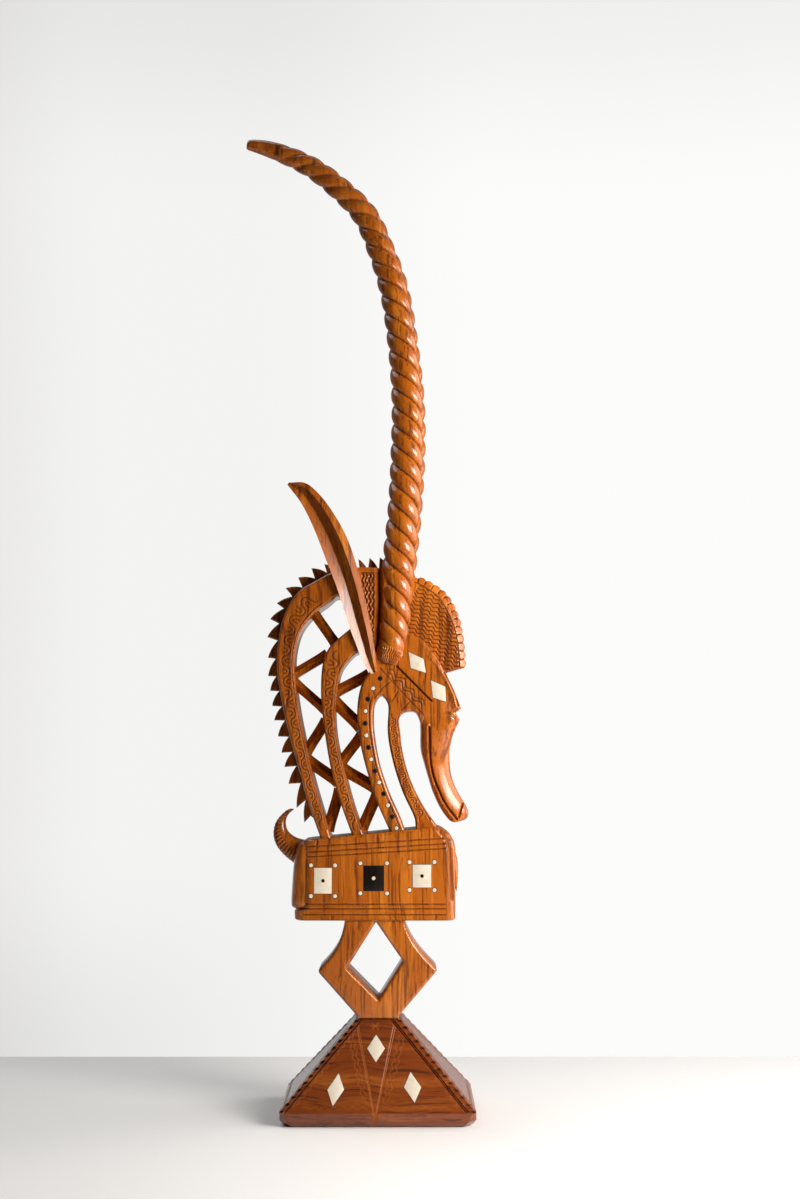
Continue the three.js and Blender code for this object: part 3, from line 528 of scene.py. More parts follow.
ARCH_OUTER = [
    (-51, -12), (-64.2, 24.5), (-72.1, 51.6), (-82.7, 89.1), (-91.5, 128),
    (-94.7, 151.5), (-94.1, 172), (-88.8, 199.3), (-75.3, 222.7), (-60.3, 232.3), (-42, 241.5),
    (-20, 245.5), (2, 245)]
ARCH_INNER = [
    (-27, 208), (-38.3, 218.7), (-47.9, 211.7), (-58.7, 203.5), (-72.4, 187), (-78.4, 165.1),
    (-78.6, 148.8), (-74.5, 114.9), (-64.5, 67), (-57.9, 41.3), (-50, 15.6), (-44, -4)]
RIB2_LEFT = [
    (-24.2, -3.2), (-34.4, 24.5), (-43, 52.9), (-49.7, 89.1), (-53.7, 128), (-51.9, 156.7),
    (-46.3, 170.6), (-39.5, 177.4), (-27.2, 187.7)]
RIB2_RIGHT = [
    (-10, 160), (-19.3, 165.8), (-29.7, 156.7), (-35.5, 147.5), (-38.1, 135.8), (-40.6, 109.7),
    (-37.9, 81.3), (-30.7, 52.9), (-22.8, 24.5), (-14, -1)]
RIB3_LEFT = [
    (10.5, 0.5), (-1.4, 27.1), (-10, 52.9), (-17.1, 81.3), (-20.2, 108.5),
    (-16.6, 134.5), (-7.5, 150.1)]
RIB3_RIGHT = [
    (2.9, 126.2), (0.2, 125), (-4.1, 117.6), (-5.1, 104.6), (-4.1, 89.1), (0.5, 63.2), (9.5, 36.2),
    (19.9, 13), (24.2, 1.5)]
RIB4_LEFT = [
    (34.1, 2.5), (33.4, 11.7), (21.8, 37.5), (12.8, 65.7), (8.2, 91.6), (8.5, 117.6), (5.6, 123.5)]
RIB4_RIGHT = [
    (39.2, 100), (34.2, 110.4), (27.7, 111.3), (22, 109.5), (18.6, 104.6), (19.9, 91.6),
    (21.2, 78.7), (27.6, 52.9), (39.3, 27.1), (52.2, 7.9), (58, 1)]
SKULL = [(14, 225), (20, 196), (27.1, 184.4), (38.4, 179.4), (47, 170.1), (54.8, 159.4),
    (60.5, 149.4)]
BROW = [
    (61.9, 147.8), (64.2, 142.3), (69.4, 131.9), (73.9, 120.2), (76.2, 113.9), (71.1, 109.7),
    (75.1, 103.7), (71.9, 96.8), (68.6, 89.1)]
BROW_RIDGE = [(47, 161.5), (52.8, 155.4), (58.9, 146.1), (64.6, 135.7), (68.9, 125.3),
    (71.6, 115.5)]
CHEEK = [(52, 84), (42, 88)]
TEETH = [  # where each tooth leaves the arch, and its point
    ((-63.8, 14.5), (-69.5, 8.3)), ((-68.5, 29), (-76.9, 21.9)), ((-73.3, 44.7), (-84.5, 44.1)),
    ((-77.3, 60.6), (-88.5, 59.7)), ((-81.3, 73.6), (-91.3, 73)), ((-84.7, 87.8), (-94.7, 88.2)),
    ((-88.3, 103.1), (-98.3, 103.3)), ((-91.3, 116.2), (-100.5, 116.8)),
    ((-93.9, 130.6), (-102.3, 131)), ((-96.6, 144.5), (-104.4, 144.9)),
    ((-97.3, 161.2), (-104.6, 162.1)), ((-95.6, 178.3), (-105.4, 181.6)),
    ((-94.3, 194.3), (-102.8, 198.5)), ((-90, 208.5), (-96.6, 213.5)),
    ((-81.9, 219.8), (-88.4, 227.8)), ((-72.7, 228.5), (-76.6, 237.9)),
    ((-60.9, 237), (-64.2, 246.7)), ((-49.5, 242.5), (-52, 250.5)),
    ((-39.5, 245.5), (-41.4, 253.2)), ((-28.7, 245), (-30.6, 254.7)),
    ((-18.5, 244.5), (-19.7, 255.4)), ((-10.8, 244.5), (-9.2, 256.5)),
    ((-0.5, 244.5), (0.4, 257.1)), ((11, 245), (11, 245))]
BRACES = [
    ((-60.5, 202.8), (-43, 178), 9.5), ((-52.7, 162.7), (-77.9, 147.7), 9.5),
    ((-76.3, 135.7), (-54, 116.4), 9.5), ((-52, 98.9), (-66.5, 76.1), 10),
    ((-63.9, 63.8), (-41.9, 48.9), 11), ((-37.7, 34), (-46.3, 5.7), 10.5),
    ((-38.3, 131.1), (-13.5, 143.9), 10.5), ((-39.9, 119), (-20.6, 100.5), 11.5),
    ((-18.6, 86.2), (-33.5, 66.7), 10), ((-29.9, 55.4), (-6.8, 42.5), 11),
    ((-2.9, 31.5), (-14.2, 6.3), 10.5)]
CREST_EDGE = [
    (12, 241), (34.6, 237.6), (48.7, 231.3), (59.4, 224), (66.2, 216), (74, 198.5), (77.6, 180),
    (79, 164.8), (79.6, 152.6)]
CREST_ROOT = [(60, 147), (45, 160), (25, 172), (4, 190)]
CREST_BORDER = [
    (14, 238), (31.5, 233.8), (47.3, 225.5), (57.4, 216.8), (64.3, 204.2),
    (70, 191.2), (72.7, 181.1), (74.4, 167), (75.2, 153.5)]
LIPS = [
    (46.6, 96.6), (47, 83.9), (47.9, 65.1), (50.7, 51), (55.4, 38.8), (60.1, 28.6),
    (65.7, 20.1), (72.2, 11.7)]
NOSTRIL = [(78.2, 26.3), (76.7, 22), (75.3, 17.5), (74.3, 13.4)]
# One section a row: jaw x and height, nose x and height, half depth, squareness
MUZZLE = [
    (34, 122, 56, 120, 22, 9), (36.5, 113, 60, 112, 22.6, 8), (38, 106, 72, 106, 22.8, 6),
    (38.4, 101, 73.4, 102.5, 22.7, 5), (38.7, 93, 70.6, 94.5, 21.8, 4),
    (39, 75, 66.3, 76, 19.4, 2.7), (41.9, 63.5, 66.1, 64, 17.8, 2.3),
    (45.5, 51, 67.4, 52.5, 16.4, 2.2), (49.9, 37, 71, 42, 15, 2.1),
    (56.4, 22.8, 76, 32.3, 13.8, 2.1), (62, 14.4, 80.8, 24.6, 12.4, 2.1),
    (66.6, 9.6, 83.3, 18.2, 10.6, 2.1), (70, 8.3, 82.8, 13.6, 8, 2), (73.2, 8.8, 80.2, 10.8, 4, 2),
    (75.6, 9.2, 77.6, 9.8, 0.6, 2)]
EAR_REAR = [
    (-85.4, 321.8), (-72.9, 305.4), (-60.8, 281.5), (-48.8, 250.9), (-38.4, 224.1), (-27.6, 190),
    (-20.9, 172.6), (-15.2, 157.8), (-7.3, 146)]
EAR_FRONT = [
    (-83.6, 323.4), (-68.5, 322.6), (-54.5, 311), (-40, 291), (-28.6, 269), (-19.4, 241.4),
    (-12.2, 212.5), (-6.9, 186.7), (-2.8, 159.4), (-1.5, 148)]
HORN_LINE = [
    (8.1, 155.5, 7), (9.4, 162, 10.5), (13.3, 178, 13.1), (16.2, 215.5, 14.3),
    (18.8, 253.3, 15.2), (23.3, 300.7, 15), (26.2, 357.9, 15), (26.1, 406, 14.3),
    (21.4, 459.1, 13.3), (13, 512.7, 12.9), (0.6, 551.7, 12), (-15, 586.3, 11.3),
    (-40.7, 613.2, 10.3), (-65.1, 632.2, 9.5), (-92, 645.5, 8.4), (-112.3, 652.5, 6.8),
    (-127.2, 655.7, 4.8)]
TAIL_OUTER = [
    (-72, 46), (-79.3, 50.4), (-89.6, 58.8), (-96.2, 67.7), (-98.6, 77), (-96.3, 88.2),
    (-88.3, 97.7), (-83.6, 100.4), (-79.6, 100.4)]
TAIL_INNER = [
    (-66, 71), (-75.5, 73.3), (-80.2, 75.7), (-84, 78.9), (-86.4, 83.5), (-86.9, 88.2),
    (-86, 92.4), (-83.6, 96.2), (-79.8, 99.4)]
PEG_ROW = [(1.2, 141.6), (-9.5, 124.8), (-12.6, 101.5), (-7, 67), (4.6, 35.2), (16.4, 3.9)]
TILES = [("rear", -50.8, 36.2, 16.4, 23.4, "bone"), ("middle", -4.5, 38.4, 18.7, 22.8, "ebony"),
         ("front", 39.7, 40.4, 17.2, 20.8, "bone")]
HEAD_DIAMONDS = [
    ("temple", [(27.6, 166.3), (41.6, 159.8), (43.8, 146.7), (29.5, 151.2)]),
    ("brow", [(48.1, 140.2), (61.7, 134), (62.3, 119.8), (50, 124)])]
PLINTH_DIAMONDS = [("top", -1.9, 64, 16.2, 25.5, 0), ("left", -37.4, 31.3, 15, 29.6, 0.16),
                   ("right", 30.8, 33.2, 15.4, 27.6, -0.13)]


# Carved lines

class Lane:
    """A strip of the carving with a middle line, a width and a way along and across it."""

    def __init__(self, first, second, start=0.0, stop=1.0):
        a, b = smooth_line(first, 240), smooth_line(second, 240)
        _, opposite = nearest(a, [b])
        middle = evenly(((a + opposite) / 2)[int(240 * start):int(240 * stop) + 1], 200)
        self.middle = middle
        self.total = np.linalg.norm(np.diff(middle, axis=0), axis=1).sum()
        self.half = np.interp(np.linspace(start, stop, 201), np.linspace(0, 1, 241),
                              np.linalg.norm(a - opposite, axis=1) / 2)
        tangent = unit(np.gradient(middle, axis=0))
        self.normal = np.column_stack([-tangent[:, 1], tangent[:, 0]])

    def at(self, run, off):
        """The place a way along the lane and off its middle, in half widths."""
        share = np.clip(np.asarray(run, float) / self.total, 0, 1) * 200

        def pick(column):
            return np.interp(share, np.arange(201), column)

        reach = np.asarray(off, float) * pick(self.half)
        return np.column_stack([
            pick(self.middle[:, k]) + reach * pick(self.normal[:, k]) for k in (0, 1)])

    def line(self, off):
        """A line along the lane, off its middle."""
        return self.at(np.linspace(0, self.total, 120), np.full(120, off))

    def vine(self, wave, sway=0.42, inner=2.7):
        """A stem that swings from side to side, with a small arc inside each of its bends."""
        run = np.arange(2, self.total - 2, 0.4)
        phase = 2 * np.pi * run / wave
        lines = [self.at(run - 0.05 * wave * np.sin(2 * phase), sway * np.sin(phase))]
        turn = np.linspace(-0.5, 0.5, 15) * np.pi
        width = float(self.half.mean())
        for k in range(1, int(2 * self.total / wave)):
            centre, side = wave * (k / 2 + 0.25), (-1) ** k
            lines.append(self.at(
                centre + 0.1 * wave * np.sin(turn),
                side * (sway - inner / width - (1 - np.cos(turn)) * 0.17 * wave / width)))
        return lines


def wavy(start, end, wave, sway, phase=0.0):
    """A line that ripples on its way from start to end."""
    a, b = np.array(start, float), np.array(end, float)
    run = np.linalg.norm(b - a)
    t = np.linspace(0, 1, max(int(run / 0.6), 2))
    across = np.array([a[1] - b[1], b[0] - a[0]]) / run
    ripple = sway * np.sin(2 * np.pi * t * run / wave + phase)
    return a + np.outer(t, b - a) + np.outer(ripple, across)


def neck_lines():
    """The cut lines of the neck and head, as groups of lines with half width and depth."""
    rib1 = Lane(ARCH_OUTER[:-3], ARCH_INNER[::-1][:-2], 0.05, 0.98)
    rib2 = Lane(RIB2_LEFT[:-1], RIB2_RIGHT[::-1], 0.02, 0.97)
    rib4 = Lane(RIB4_LEFT, RIB4_RIGHT[::-1], 0.02, 0.92)
    rib3 = Lane(RIB3_LEFT, RIB3_RIGHT[::-1], 0, 0.86)
    ribbon = Lane([(10, 153), (20, 147), (33, 132), (45, 119)],
                  [(2, 145), (14, 138), (28, 124), (41, 111)])
    run = np.arange(1, ribbon.total - 1, 0.4)
    twin = [ribbon.at(run, off + 0.4 * np.sin(2 * np.pi * run / 13)) for off in (-0.42, 0.3)]
    thin = [rib1.line(-0.74), rib2.line(-0.78), rib3.line(-0.45), rib4.line(0.8), rib4.line(-0.8),
            [(0.9, 151.2), (19.8, 130.5), (41.8, 107.1)], [(10, 138.3), (3, 132.5), (-4.3, 123.4)],
            [(28.9, 120.8), (21.1, 112.3)], [(17.7, 130), (11.3, 119.8)]]
    hair = [wavy((x, 239), (x + 0.12 * (x + 10), 156), 7.7, 0.9)
            for x in np.linspace(-15.4, -5.8, 4)]
    line = sizes().line_depth / MM
    return [
        (rib1.vine(19.5) + rib2.vine(18) + rib4.vine(12.5, 0.4, 1.9) + twin, 0.8, line),
        (thin, 0.75, line),
        (hair, 1.25, 1.4),
        ([[(-17, 240.2), (-1, 240.2)]], 1.0, 1.2),
        # A deep wide groove beside the horn, darkened in full: painted shadow of the horn on the
        # hair panel.
        ([[(-0.2, 243), (0, 215), (-1.4, 170)]], 4.2, 6),
        ([[(16.5, 152.9), (48.4, 120.8)]], 1.2, 3.2),
        # A dark line outside the brow's rim: painted shade beside the ridge.
        ([[(60.8, 147), (66.4, 136.7), (70.8, 126.3), (73.6, 116.5)]], 1.25, 1.6),
    ]


# The pieces

def build_plinth():
    """A pyramid with a foot band, notched corners, cut borders and a long V on its front."""
    half_x, half_y, height = PLINTH_HIGH
    band, top_x, top_y = PLINTH_BAND, PLINTH_TOP_X, PLINTH_TOP_Y
    rows = np.concatenate([[0, 0.8, 2, 3.2], np.linspace(4.4, band, 11),
                           np.linspace(band, height - 0.6, 122)[1:], [height]])
    shrink = np.interp(rows, [0, 0.8, 2, 4.4, 6], [6, 4.2, 2.6, 0.8, 0], right=0)
    chamfer = np.interp(rows, [0, 4.4, 11, 13.5], [7, 7, 5, 0])
    share = np.clip((rows - band) / (height - band), 0, 1)
    ring_x = half_x - shrink - share * (half_x - top_x)
    ring_y = half_y - shrink - share * (half_y - top_y)
    ring_x[-1] -= 0.8
    ring_y[-1] -= 0.8
    columns = [250, 120, 110, 120]
    starts = np.cumsum([0] + columns)
    corners = [(-1, -1), (1, -1), (1, 1), (-1, 1)]
    # At each corner: how far in the notches reach, their depth, and where the borders run
    strips = [(3.4, 2.8, (4.9,)), (6, 1.5, (6.9, 8.9))] * 2
    pitch = SLOPE_LENGTH / 13.2

    def place(u, v):
        col = np.rint(u * starts[-1]).astype(int) % starts[-1]
        row = np.rint(v * (len(rows) - 1)).astype(int)
        spots = np.zeros((len(u), 3))
        dark = np.zeros(len(u))
        for side in range(4):
            mine = (col >= starts[side]) & (col < starts[side + 1])
            f = (col[mine] - starts[side]) / columns[side]
            r = row[mine]
            (ax, ay), (bx, by) = corners[side], corners[(side + 1) % 4]
            along = np.array([(bx - ax) / 2, (by - ay) / 2])
            out = np.array([along[1], -along[0]])
            reach = np.where(along[0] != 0, ring_x[r], ring_y[r])
            depth = np.where(along[0] != 0, ring_y[r], ring_x[r])
            local = (2 * f - 1) * reach
            height_here = rows[r]
            up = np.where(share[r] > 0, share[r] * SLOPE_LENGTH, rows[r] - band)
            edge = reach - np.abs(local)
            cut_off = np.clip(chamfer[r] - edge, 0, None) / 2
            on_slope = (share[r] > 0) & (share[r] < 1)
            drop = np.zeros(len(f))
            for half, strip in ((f < 0.5, strips[side]), (f >= 0.5, strips[(side + 1) % 4])):
                wide, deep, borders = strip
                tooth = np.abs((up / pitch + 0.4) % 1 - 0.5) * pitch
                notch = deep * np.clip(1 - tooth / 1.7, 0, 1) * np.clip(2 - 2 * edge / wide, 0, 1)
                for at in borders:
                    notch = np.maximum(notch, 1.6 * np.clip(1 - np.abs(edge - at) / 0.95, 0, 1))
                drop = np.where(half & on_slope, notch, drop)
            shade = np.clip(drop / 1.3, 0, 1)
            inner = (edge > 10.2 - 3 * (local < 0)) & (share[r] < 0.985) & (rows[r] > 4)
            moved, cut, _ = engrave(np.column_stack([local, up])[inner], scratched_lines(side),
                                    1.0 if side else 0.74)
            local[inner], up[inner] = moved.T
            drop[inner] = np.maximum(drop[inner], cut)
            shade[inner] = -np.clip(cut / 0.4, 0, 1)
            climb = np.clip(up / SLOPE_LENGTH, 0, 1)
            foot, top = (half_y, top_y) if along[0] else (half_x, top_x)
            depth = np.where(inner, foot - climb * (foot - top) - shrink[r], depth)
            height_here = np.where(
                inner, band + np.where(up > 0, climb * SLOPE_RISE, up), height_here)
            local -= np.sign(local) * cut_off
            drop += cut_off
            flat = np.outer(local, along) + np.outer(depth - drop, out)
            arris = f == 0
            flat[arris] -= np.outer((drop - cut_off)[arris], -along)
            spots[mine] = np.column_stack([flat, height_here])
            dark[mine] = shade
        return spots, dark

    bm = new_net()
    sheet(bm, int(starts[-1]), len(rows) - 1, place)
    finish_piece("plinth_block", bm, "plinth_wood", ["plinth"])


def scratched_lines(side):
    """The lines scratched into a slope: V, flower and borders in front, plain ripples elsewhere."""
    top = SLOPE_LENGTH - 3
    if side:
        return [([wavy((sign * (foot - inset), 4), (sign * (23 - inset), top - 8), 9, 1.3)
                  for sign in (-1, 1) for foot, inset in ((60, 6), (60, 11))]
                 + [wavy((-48, 5), (48, 5), 9, 1.2)], 1.1, 0.3)]
    vee = [[(-19.7, top), (-2.6, -5.4)], [(-18.1, top), (-1.8, -4.4)],
           [(14.5, top), (-2.2, -5.4)], [(16.4, top), (-1.2, -4.4)]]
    loop = [(-2.2 + 1.5 * math.cos(a), -6 + 1.3 * math.sin(a))
            for a in np.linspace(0, 2 * math.pi, 14)]
    flower = [[(-5.2, 80.6), (0.4, 75.2)], [(-5.2, 75.2), (0.4, 80.6)], [(-6.4, 77.9), (1.6, 77.9)]]
    ripples = [wavy((-74, 4), (-20, top - 6), 8, 1.1), wavy((72, 4), (22, top - 6), 8, 1.1),
               wavy((-66, 4.5), (-9, 4.5), 8.5, 1), wavy((6, 4.5), (64, 4.5), 8.5, 1),
               wavy((-23.5, top - 8), (-9, 8), 8, 1.1), wavy((20.5, top - 8), (5, 8), 8, 1.1),
               wavy((-27, top - 10), (-13, 12), 8, 1), wavy((25, top - 10), (9.5, 12), 8, 1)]
    return [(vee + [loop] + flower, 0.8, 0.4), (ripples, 0.7, 0.26)]


def build_stand():
    """The open diamond between plinth and body."""
    height = STAND_HEIGHT
    left = [tuple(p) for p in smooth_line([
        (-31.2, height + 3), (-31.4, height - 3), (-36.6, 67.9), (-44.4, 55.5), (-54.2, 44.6)], 22)]
    right = [tuple(p) for p in smooth_line([
        (52.6, 45), (39.6, 58.9), (30.2, 71.9), (24.4, height - 3), (24.2, height + 3)], 22)]
    outline = [*left, (-54.8, 43), (-54.2, 41), (-18.7, 1.8), (-18.5, 0), (18.5, 0), (18.5, 2.6),
               (52.3, 41.8), (53.2, 43.5), *right]
    window = [(-2.4, 87), (-28.7, 45.6), (0, 17.2), (22.3, 51.8)]
    bm = carved_board(outline, [window], 1.1, 24, FIGURE_FOOT, 2.6)
    finish_carving("stand_diamond", bm)


def build_body():
    """The box body with its mouldings, and the flap and leaf at its ends."""
    levels = np.concatenate([[0, 0.6, 1.6], np.linspace(2.4, 76.4, 110), [77.6, 78.7, 79.3, 79.5]])
    inset = np.interp(levels, [0, 0.6, 1.6, 76.4, 77.6, 78.7, 79.3, 79.5],
                      [2, 0.9, 0, 0, 0.35, 1.0, 1.7, 2.6])
    left = np.interp(levels, [0, 9.6, 10.4, 79.5], [-76.8, -77.2, -70.5, -69.5])
    right = np.interp(levels, [0, 60, 66, 72, 77, 79.5], [70.5, 70.5, 69.3, 65.5, 59.5, 56])
    radius = 10.0
    low = [[(-69, z), (60.6, z)] for z in (5.5, 10.8, 14.9)]
    high = [[(x, BODY_HEIGHT - d + 0.062 * (x + 5)) for x in (-69, 60.8)] for d in (9, 13.9, 18.2)]
    ticks = [[(x, 71.2 + 0.1 * x), (x, 80.5 + 0.1 * x)]
             for x in (-56.5, -45.5, -1.5, 5.5, 39, 50.5)]
    foot_ticks = [[(x, 0.8), (x, 4.4)] for x in (-51.5, -43, 52)]
    # The shoulder is a wide shallow groove whose darkening is painted shade at the chest end of the
    # body.
    shoulder = [[(57.5, 81), (62.8, 74), (65.6, 62), (66.4, 45), (67.2, 20)]]
    cuts = [(low + high, 1.0, 1.1), (ticks + foot_ticks, 0.8, 0.8), (shoulder, 3.2, 1.4)]
    around = 420

    def ring(u, lo, hi, half):
        """A rounded rectangle walked once round, with its outward direction."""
        run = (u % 1) * 4
        side = np.minimum(run.astype(int), 3)
        f = run - side
        span = (hi - lo) / 2
        mid = (hi + lo) / 2
        bend = np.clip((f - 0.5) * 2, -1, 1)
        turn = np.zeros(len(u))
        x, y = np.zeros(len(u)), np.zeros(len(u))
        straight = 0.78
        ways = [(0, -1, 1, 0), (1, 0, 0, 1), (0, 1, -1, 0), (-1, 0, 0, -1)]
        for s, (sx, sy, tx, ty) in enumerate(ways):
            m = side == s
            along = span[m] if tx else half
            out = half if tx else span[m]
            b = bend[m]
            flat = np.clip(b / straight, -1, 1) * (along - radius)
            arc = np.clip((np.abs(b) - straight) / (1 - straight), 0, 1) * math.pi / 4
            a_along = flat + np.sign(b) * radius * np.sin(arc)
            a_out = out - radius * (1 - np.cos(arc))
            x[m] = mid[m] + tx * a_along + sx * a_out
            y[m] = ty * a_along + sy * a_out
            turn[m] = np.arctan2(sy * np.cos(arc) + ty * np.sign(b) * np.sin(arc),
                                 sx * np.cos(arc) + tx * np.sign(b) * np.sin(arc))
        return x, y, turn

    def place(u, v):
        row = np.rint(v * (len(levels) - 1)).astype(int)
        x, y, turn = ring(u, left[row], right[row], BODY_FACE)
        x = x - inset[row] * np.cos(turn)
        y = y - inset[row] * np.sin(turn)
        z = levels[row] * (1 + 0.1 * x / BODY_HEIGHT)
        faces = np.abs(y) > 18
        spots = np.column_stack([x, z])
        moved, drop, dark = engrave(spots[faces], cuts, 0.8)
        rim = (row[faces] == 0) | (row[faces] == len(levels) - 1)
        moved[rim] = spots[faces][rim]
        x[faces] = moved[:, 0]
        z[faces] = moved[:, 1]
        x[faces] -= drop * np.cos(turn[faces])
        y[faces] -= drop * np.sin(turn[faces])
        shade = np.zeros(len(u))
        shade[faces] = 0.7 * dark
        return np.column_stack([x, y, BODY_FOOT + z]), shade

    bm = new_net()
    sheet(bm, around, len(levels) - 1, place)
    finish_carving("body_box", bm)
    build_flap()
    build_chest_leaf()


def build_flap():
    """The rounded flap down the rear end of the body."""
    rows = [  # height, how far it reaches back, half depth
        (9.6, -74, 12), (10.2, -78.6, 20), (11.8, -80.6, 23.5), (15, -81, 24.6), (30, -80.4, 25),
        (50, -79, 25.2), (60, -77.6, 25), (68, -74.5, 24), (71.4, -70, 21)]

    def place(u, v):
        z, reach, half = rows_at(rows, v).T
        angle = 2 * np.pi * u
        out = swollen(np.cos(angle), 0.7)
        side = swollen(np.sin(angle), 0.62)
        middle = -66.5
        return np.column_stack([
            middle + out * np.where(out < 0, middle - reach, 4), half * side, BODY_FOOT + z]), 0.0

    bm = new_net()
    sheet(bm, 72, 60, place)
    finish_carving("rump_flap", bm)


def build_chest_leaf():
    """The leaf that hangs over the chest, with a groove inside its edge."""
    outer = smooth_line([(52, 84.5), (57.5, 79.4), (65.1, 71.7), (70.2, 62.7), (72.6, 53.8),
                         (73, 39.9), (72, 25.1)], 40)
    outline = [*map(tuple, outer), (67, 36), (60, 52), (48, 70), (44, 80)]
    groove = smooth_line([(55, 78), (62, 68.5), (67, 58), (69.5, 46), (70.5, 31)], 20)
    bm = carved_board(outline, [], 0.9, 21, BODY_FOOT, 6, [([groove], 1.2, 1.2)])
    finish_carving("chest_leaf", bm)


def build_tail():
    """The curled tail with its cut ribs."""
    rows, ribs = 380, 18

    def place(u, v):
        outer = rows_at(TAIL_OUTER, v)
        inner = rows_at(TAIL_INNER, v)
        half = 11 + (3 - 11) * v
        angle = 2 * np.pi * u
        mix = 0.5 + 0.5 * swollen(np.cos(angle), 0.9)
        across = outer - inner
        across /= np.maximum(np.linalg.norm(across, axis=1), 1e-6)[:, None]
        phase = (v / 0.92 * ribs) % 1
        swell = np.abs(np.sin(np.pi * phase)) ** 0.6
        ribbed = np.clip((mix - 0.42) / 0.15, 0, 1) * (v < 0.92) * (v > 0.02)
        drop = (1 - swell) * ribbed * 1.3
        pushed = 0.4 * drop * (2 * mix - 0.6).clip(0, 1)
        flat = inner + (outer - inner) * mix[:, None] - across * pushed[:, None]
        side = np.sin(angle)
        y = half * swollen(side, 0.8)
        y -= np.sign(side) * drop * (1 - np.abs(2 * mix - 1)) * 1.2
        # Painted shade: the cut ribs darken with their depth.
        dark = np.clip(drop / 1.4, 0, 1) ** 1.5
        return np.column_stack([flat[:, 0], y, BODY_FOOT + flat[:, 1]]), dark

    bm = new_net()
    sheet(bm, 64, rows, place)
    finish_carving("tail", bm)


def build_neck():
    """The plank of the neck and head: mane arch, four ribs and the skull, with all their lines."""
    outline = [*smooth_line(ARCH_OUTER, 110), *smooth_line(SKULL, 24), *BROW, *CHEEK,
               *smooth_line(RIB4_RIGHT, 60), (58, -10)]
    holes = [
        [*smooth_line(ARCH_INNER, 90), *smooth_line(RIB2_LEFT, 80)],
        [*smooth_line(RIB2_RIGHT, 70), *smooth_line(RIB3_LEFT, 60)],
        [*smooth_line(RIB3_RIGHT, 60), *smooth_line(RIB4_LEFT, 50)]]
    ridge = smooth_line(BROW_RIDGE, 40)

    def shape(points, depth):
        """The ridge down the brow with its valley, and the cheek that sinks into the muzzle."""
        away, spot = nearest(points, [ridge])
        inner = ((points - spot) @ (-0.88, -0.47)) > 0
        low = np.clip((150 - points[:, 1]) / 36, 0, 1)
        valley = 1.5 * low * np.clip(away / 4.2, 0, 1) * np.clip((13 - away) / 8.8, 0, 1)
        rim = 1.1 * np.exp(-(away / 1.15) ** 2)
        brow = (points[:, 1] < 166) & (points[:, 1] > 111) & (away < 13)
        cheek = np.clip((108 - points[:, 1]) / 18, 0, 1) * (points[:, 0] > 36) * 8
        return depth - np.where(brow, np.where(inner, valley, 0) - rim, 0) - cheek

    bm = carved_board(outline, holes, sizes().net / MM, NECK_FACE, NECK_FOOT,
                      sizes().edge_round / MM, neck_lines(), shape)
    finish_carving("neck_and_head", bm)


def build_braces():
    """The ridged bars between the ribs."""
    bm = new_net()
    for start, end, width in BRACES:
        a, b = np.array(start, float), np.array(end, float)
        along = (b - a) / np.linalg.norm(b - a)
        a, b = a - 5 * along, b + 5 * along
        w = width / 2
        ridges = [(-w, -4.5), (0, -10), (w, -4.5), (w, 4.5), (0, 10), (-w, 4.5), (-w, -4.5)]
        section = faceted(ridges, 4)

        def place(u, v):
            wide, deep = section[np.rint(u * 24).astype(int)].T
            wide = wide * (1 + 0.16 * np.abs(2 * v - 1) ** 4)
            return np.column_stack([a[0] + v * (b - a)[0] - wide * along[1], deep,
                                    NECK_FOOT + a[1] + v * (b - a)[1] + wide * along[0]]), 0.0

        sheet(bm, 24, 16, place)
    finish_carving("braces", bm, crease=30)


def build_mane():
    """The saw teeth along the mane, each with its point at the lower end."""
    outline = []
    for (root, tip), (after, _) in zip(TEETH, TEETH[1:]):
        tip, after = np.array(tip), np.array(after)
        out = np.array([tip[1] - after[1], after[0] - tip[0]]) / np.linalg.norm(after - tip)
        outline += [tuple(p) for p in evenly([root, tip], 6)[:-1]]
        for t in np.linspace(0, 1, 8)[:-1]:
            outline.append(tuple(tip + t * (after - tip) + 4.6 * t * (1 - t) * out))
    outline.append(TEETH[-1][0])
    arch = smooth_line(ARCH_OUTER, 60)[::-1]
    tangent = unit(np.gradient(arch, axis=0))
    inner = arch + 5 * np.column_stack([-tangent[:, 1], tangent[:, 0]])
    bm = carved_board([*outline, *map(tuple, inner[3:-3])], [], 0.7, 4.5, NECK_FOOT, 1.3)
    finish_carving("mane_teeth", bm)


def build_crest():
    """The thin fan between the horns, scalloped and cut with rippled locks."""
    dense = smooth_line(CREST_EDGE, 600)
    start, scallops, edge = 0.2, 13, []
    for i in range(601):
        t = unit(dense[min(i + 1, 600)] - dense[max(i - 1, 0)])
        share = (i / 600 - start) / (1 - start) * scallops
        out = 2.2 * abs(math.sin(math.pi * share)) ** 0.55 if share > 0 else 0
        edge.append(dense[i] + out * np.array([-t[1], t[0]]))
    outline = [*edge[::4], *CREST_ROOT]
    border = smooth_line(CREST_BORDER, 60)
    locks, slope = [], math.radians(-33)
    along = np.array([math.cos(slope), math.sin(slope)])
    across = np.array([-along[1], along[0]])
    for k in range(34):
        base = np.array([10, 150]) + across * (3.55 * k - 34)
        line = wavy(base - along * 20, base + along * 110, 8.6, 0.95, 0.9 * k)
        keep = inside(line, np.vstack([border, [(62, 146), (45, 158), (20, 172), (4, 190)]]))
        if keep.sum() > 6:
            locks.append(line[keep])
    notches = [[dense[int(600 * s)], dense[int(600 * s)] - 3.6 * direction]
               for s, direction in crest_notches(dense, start, scallops)]
    lock_area = np.vstack([border, [(62, 146), (4, 190)]])

    def shape(points, depth):
        away, _ = nearest(points, [border])
        return depth - np.where(inside(points, lock_area) | (points[:, 1] < 150), 0, 0.62 * away)

    bm = carved_board(outline, [], 0.62, 9, NECK_FOOT, 1.1,
                      [(locks, 1.0, 0.75), ([border], 0.9, 1.0), (notches, 0.8, 1.1)], shape)
    finish_carving("crest_fan", bm)


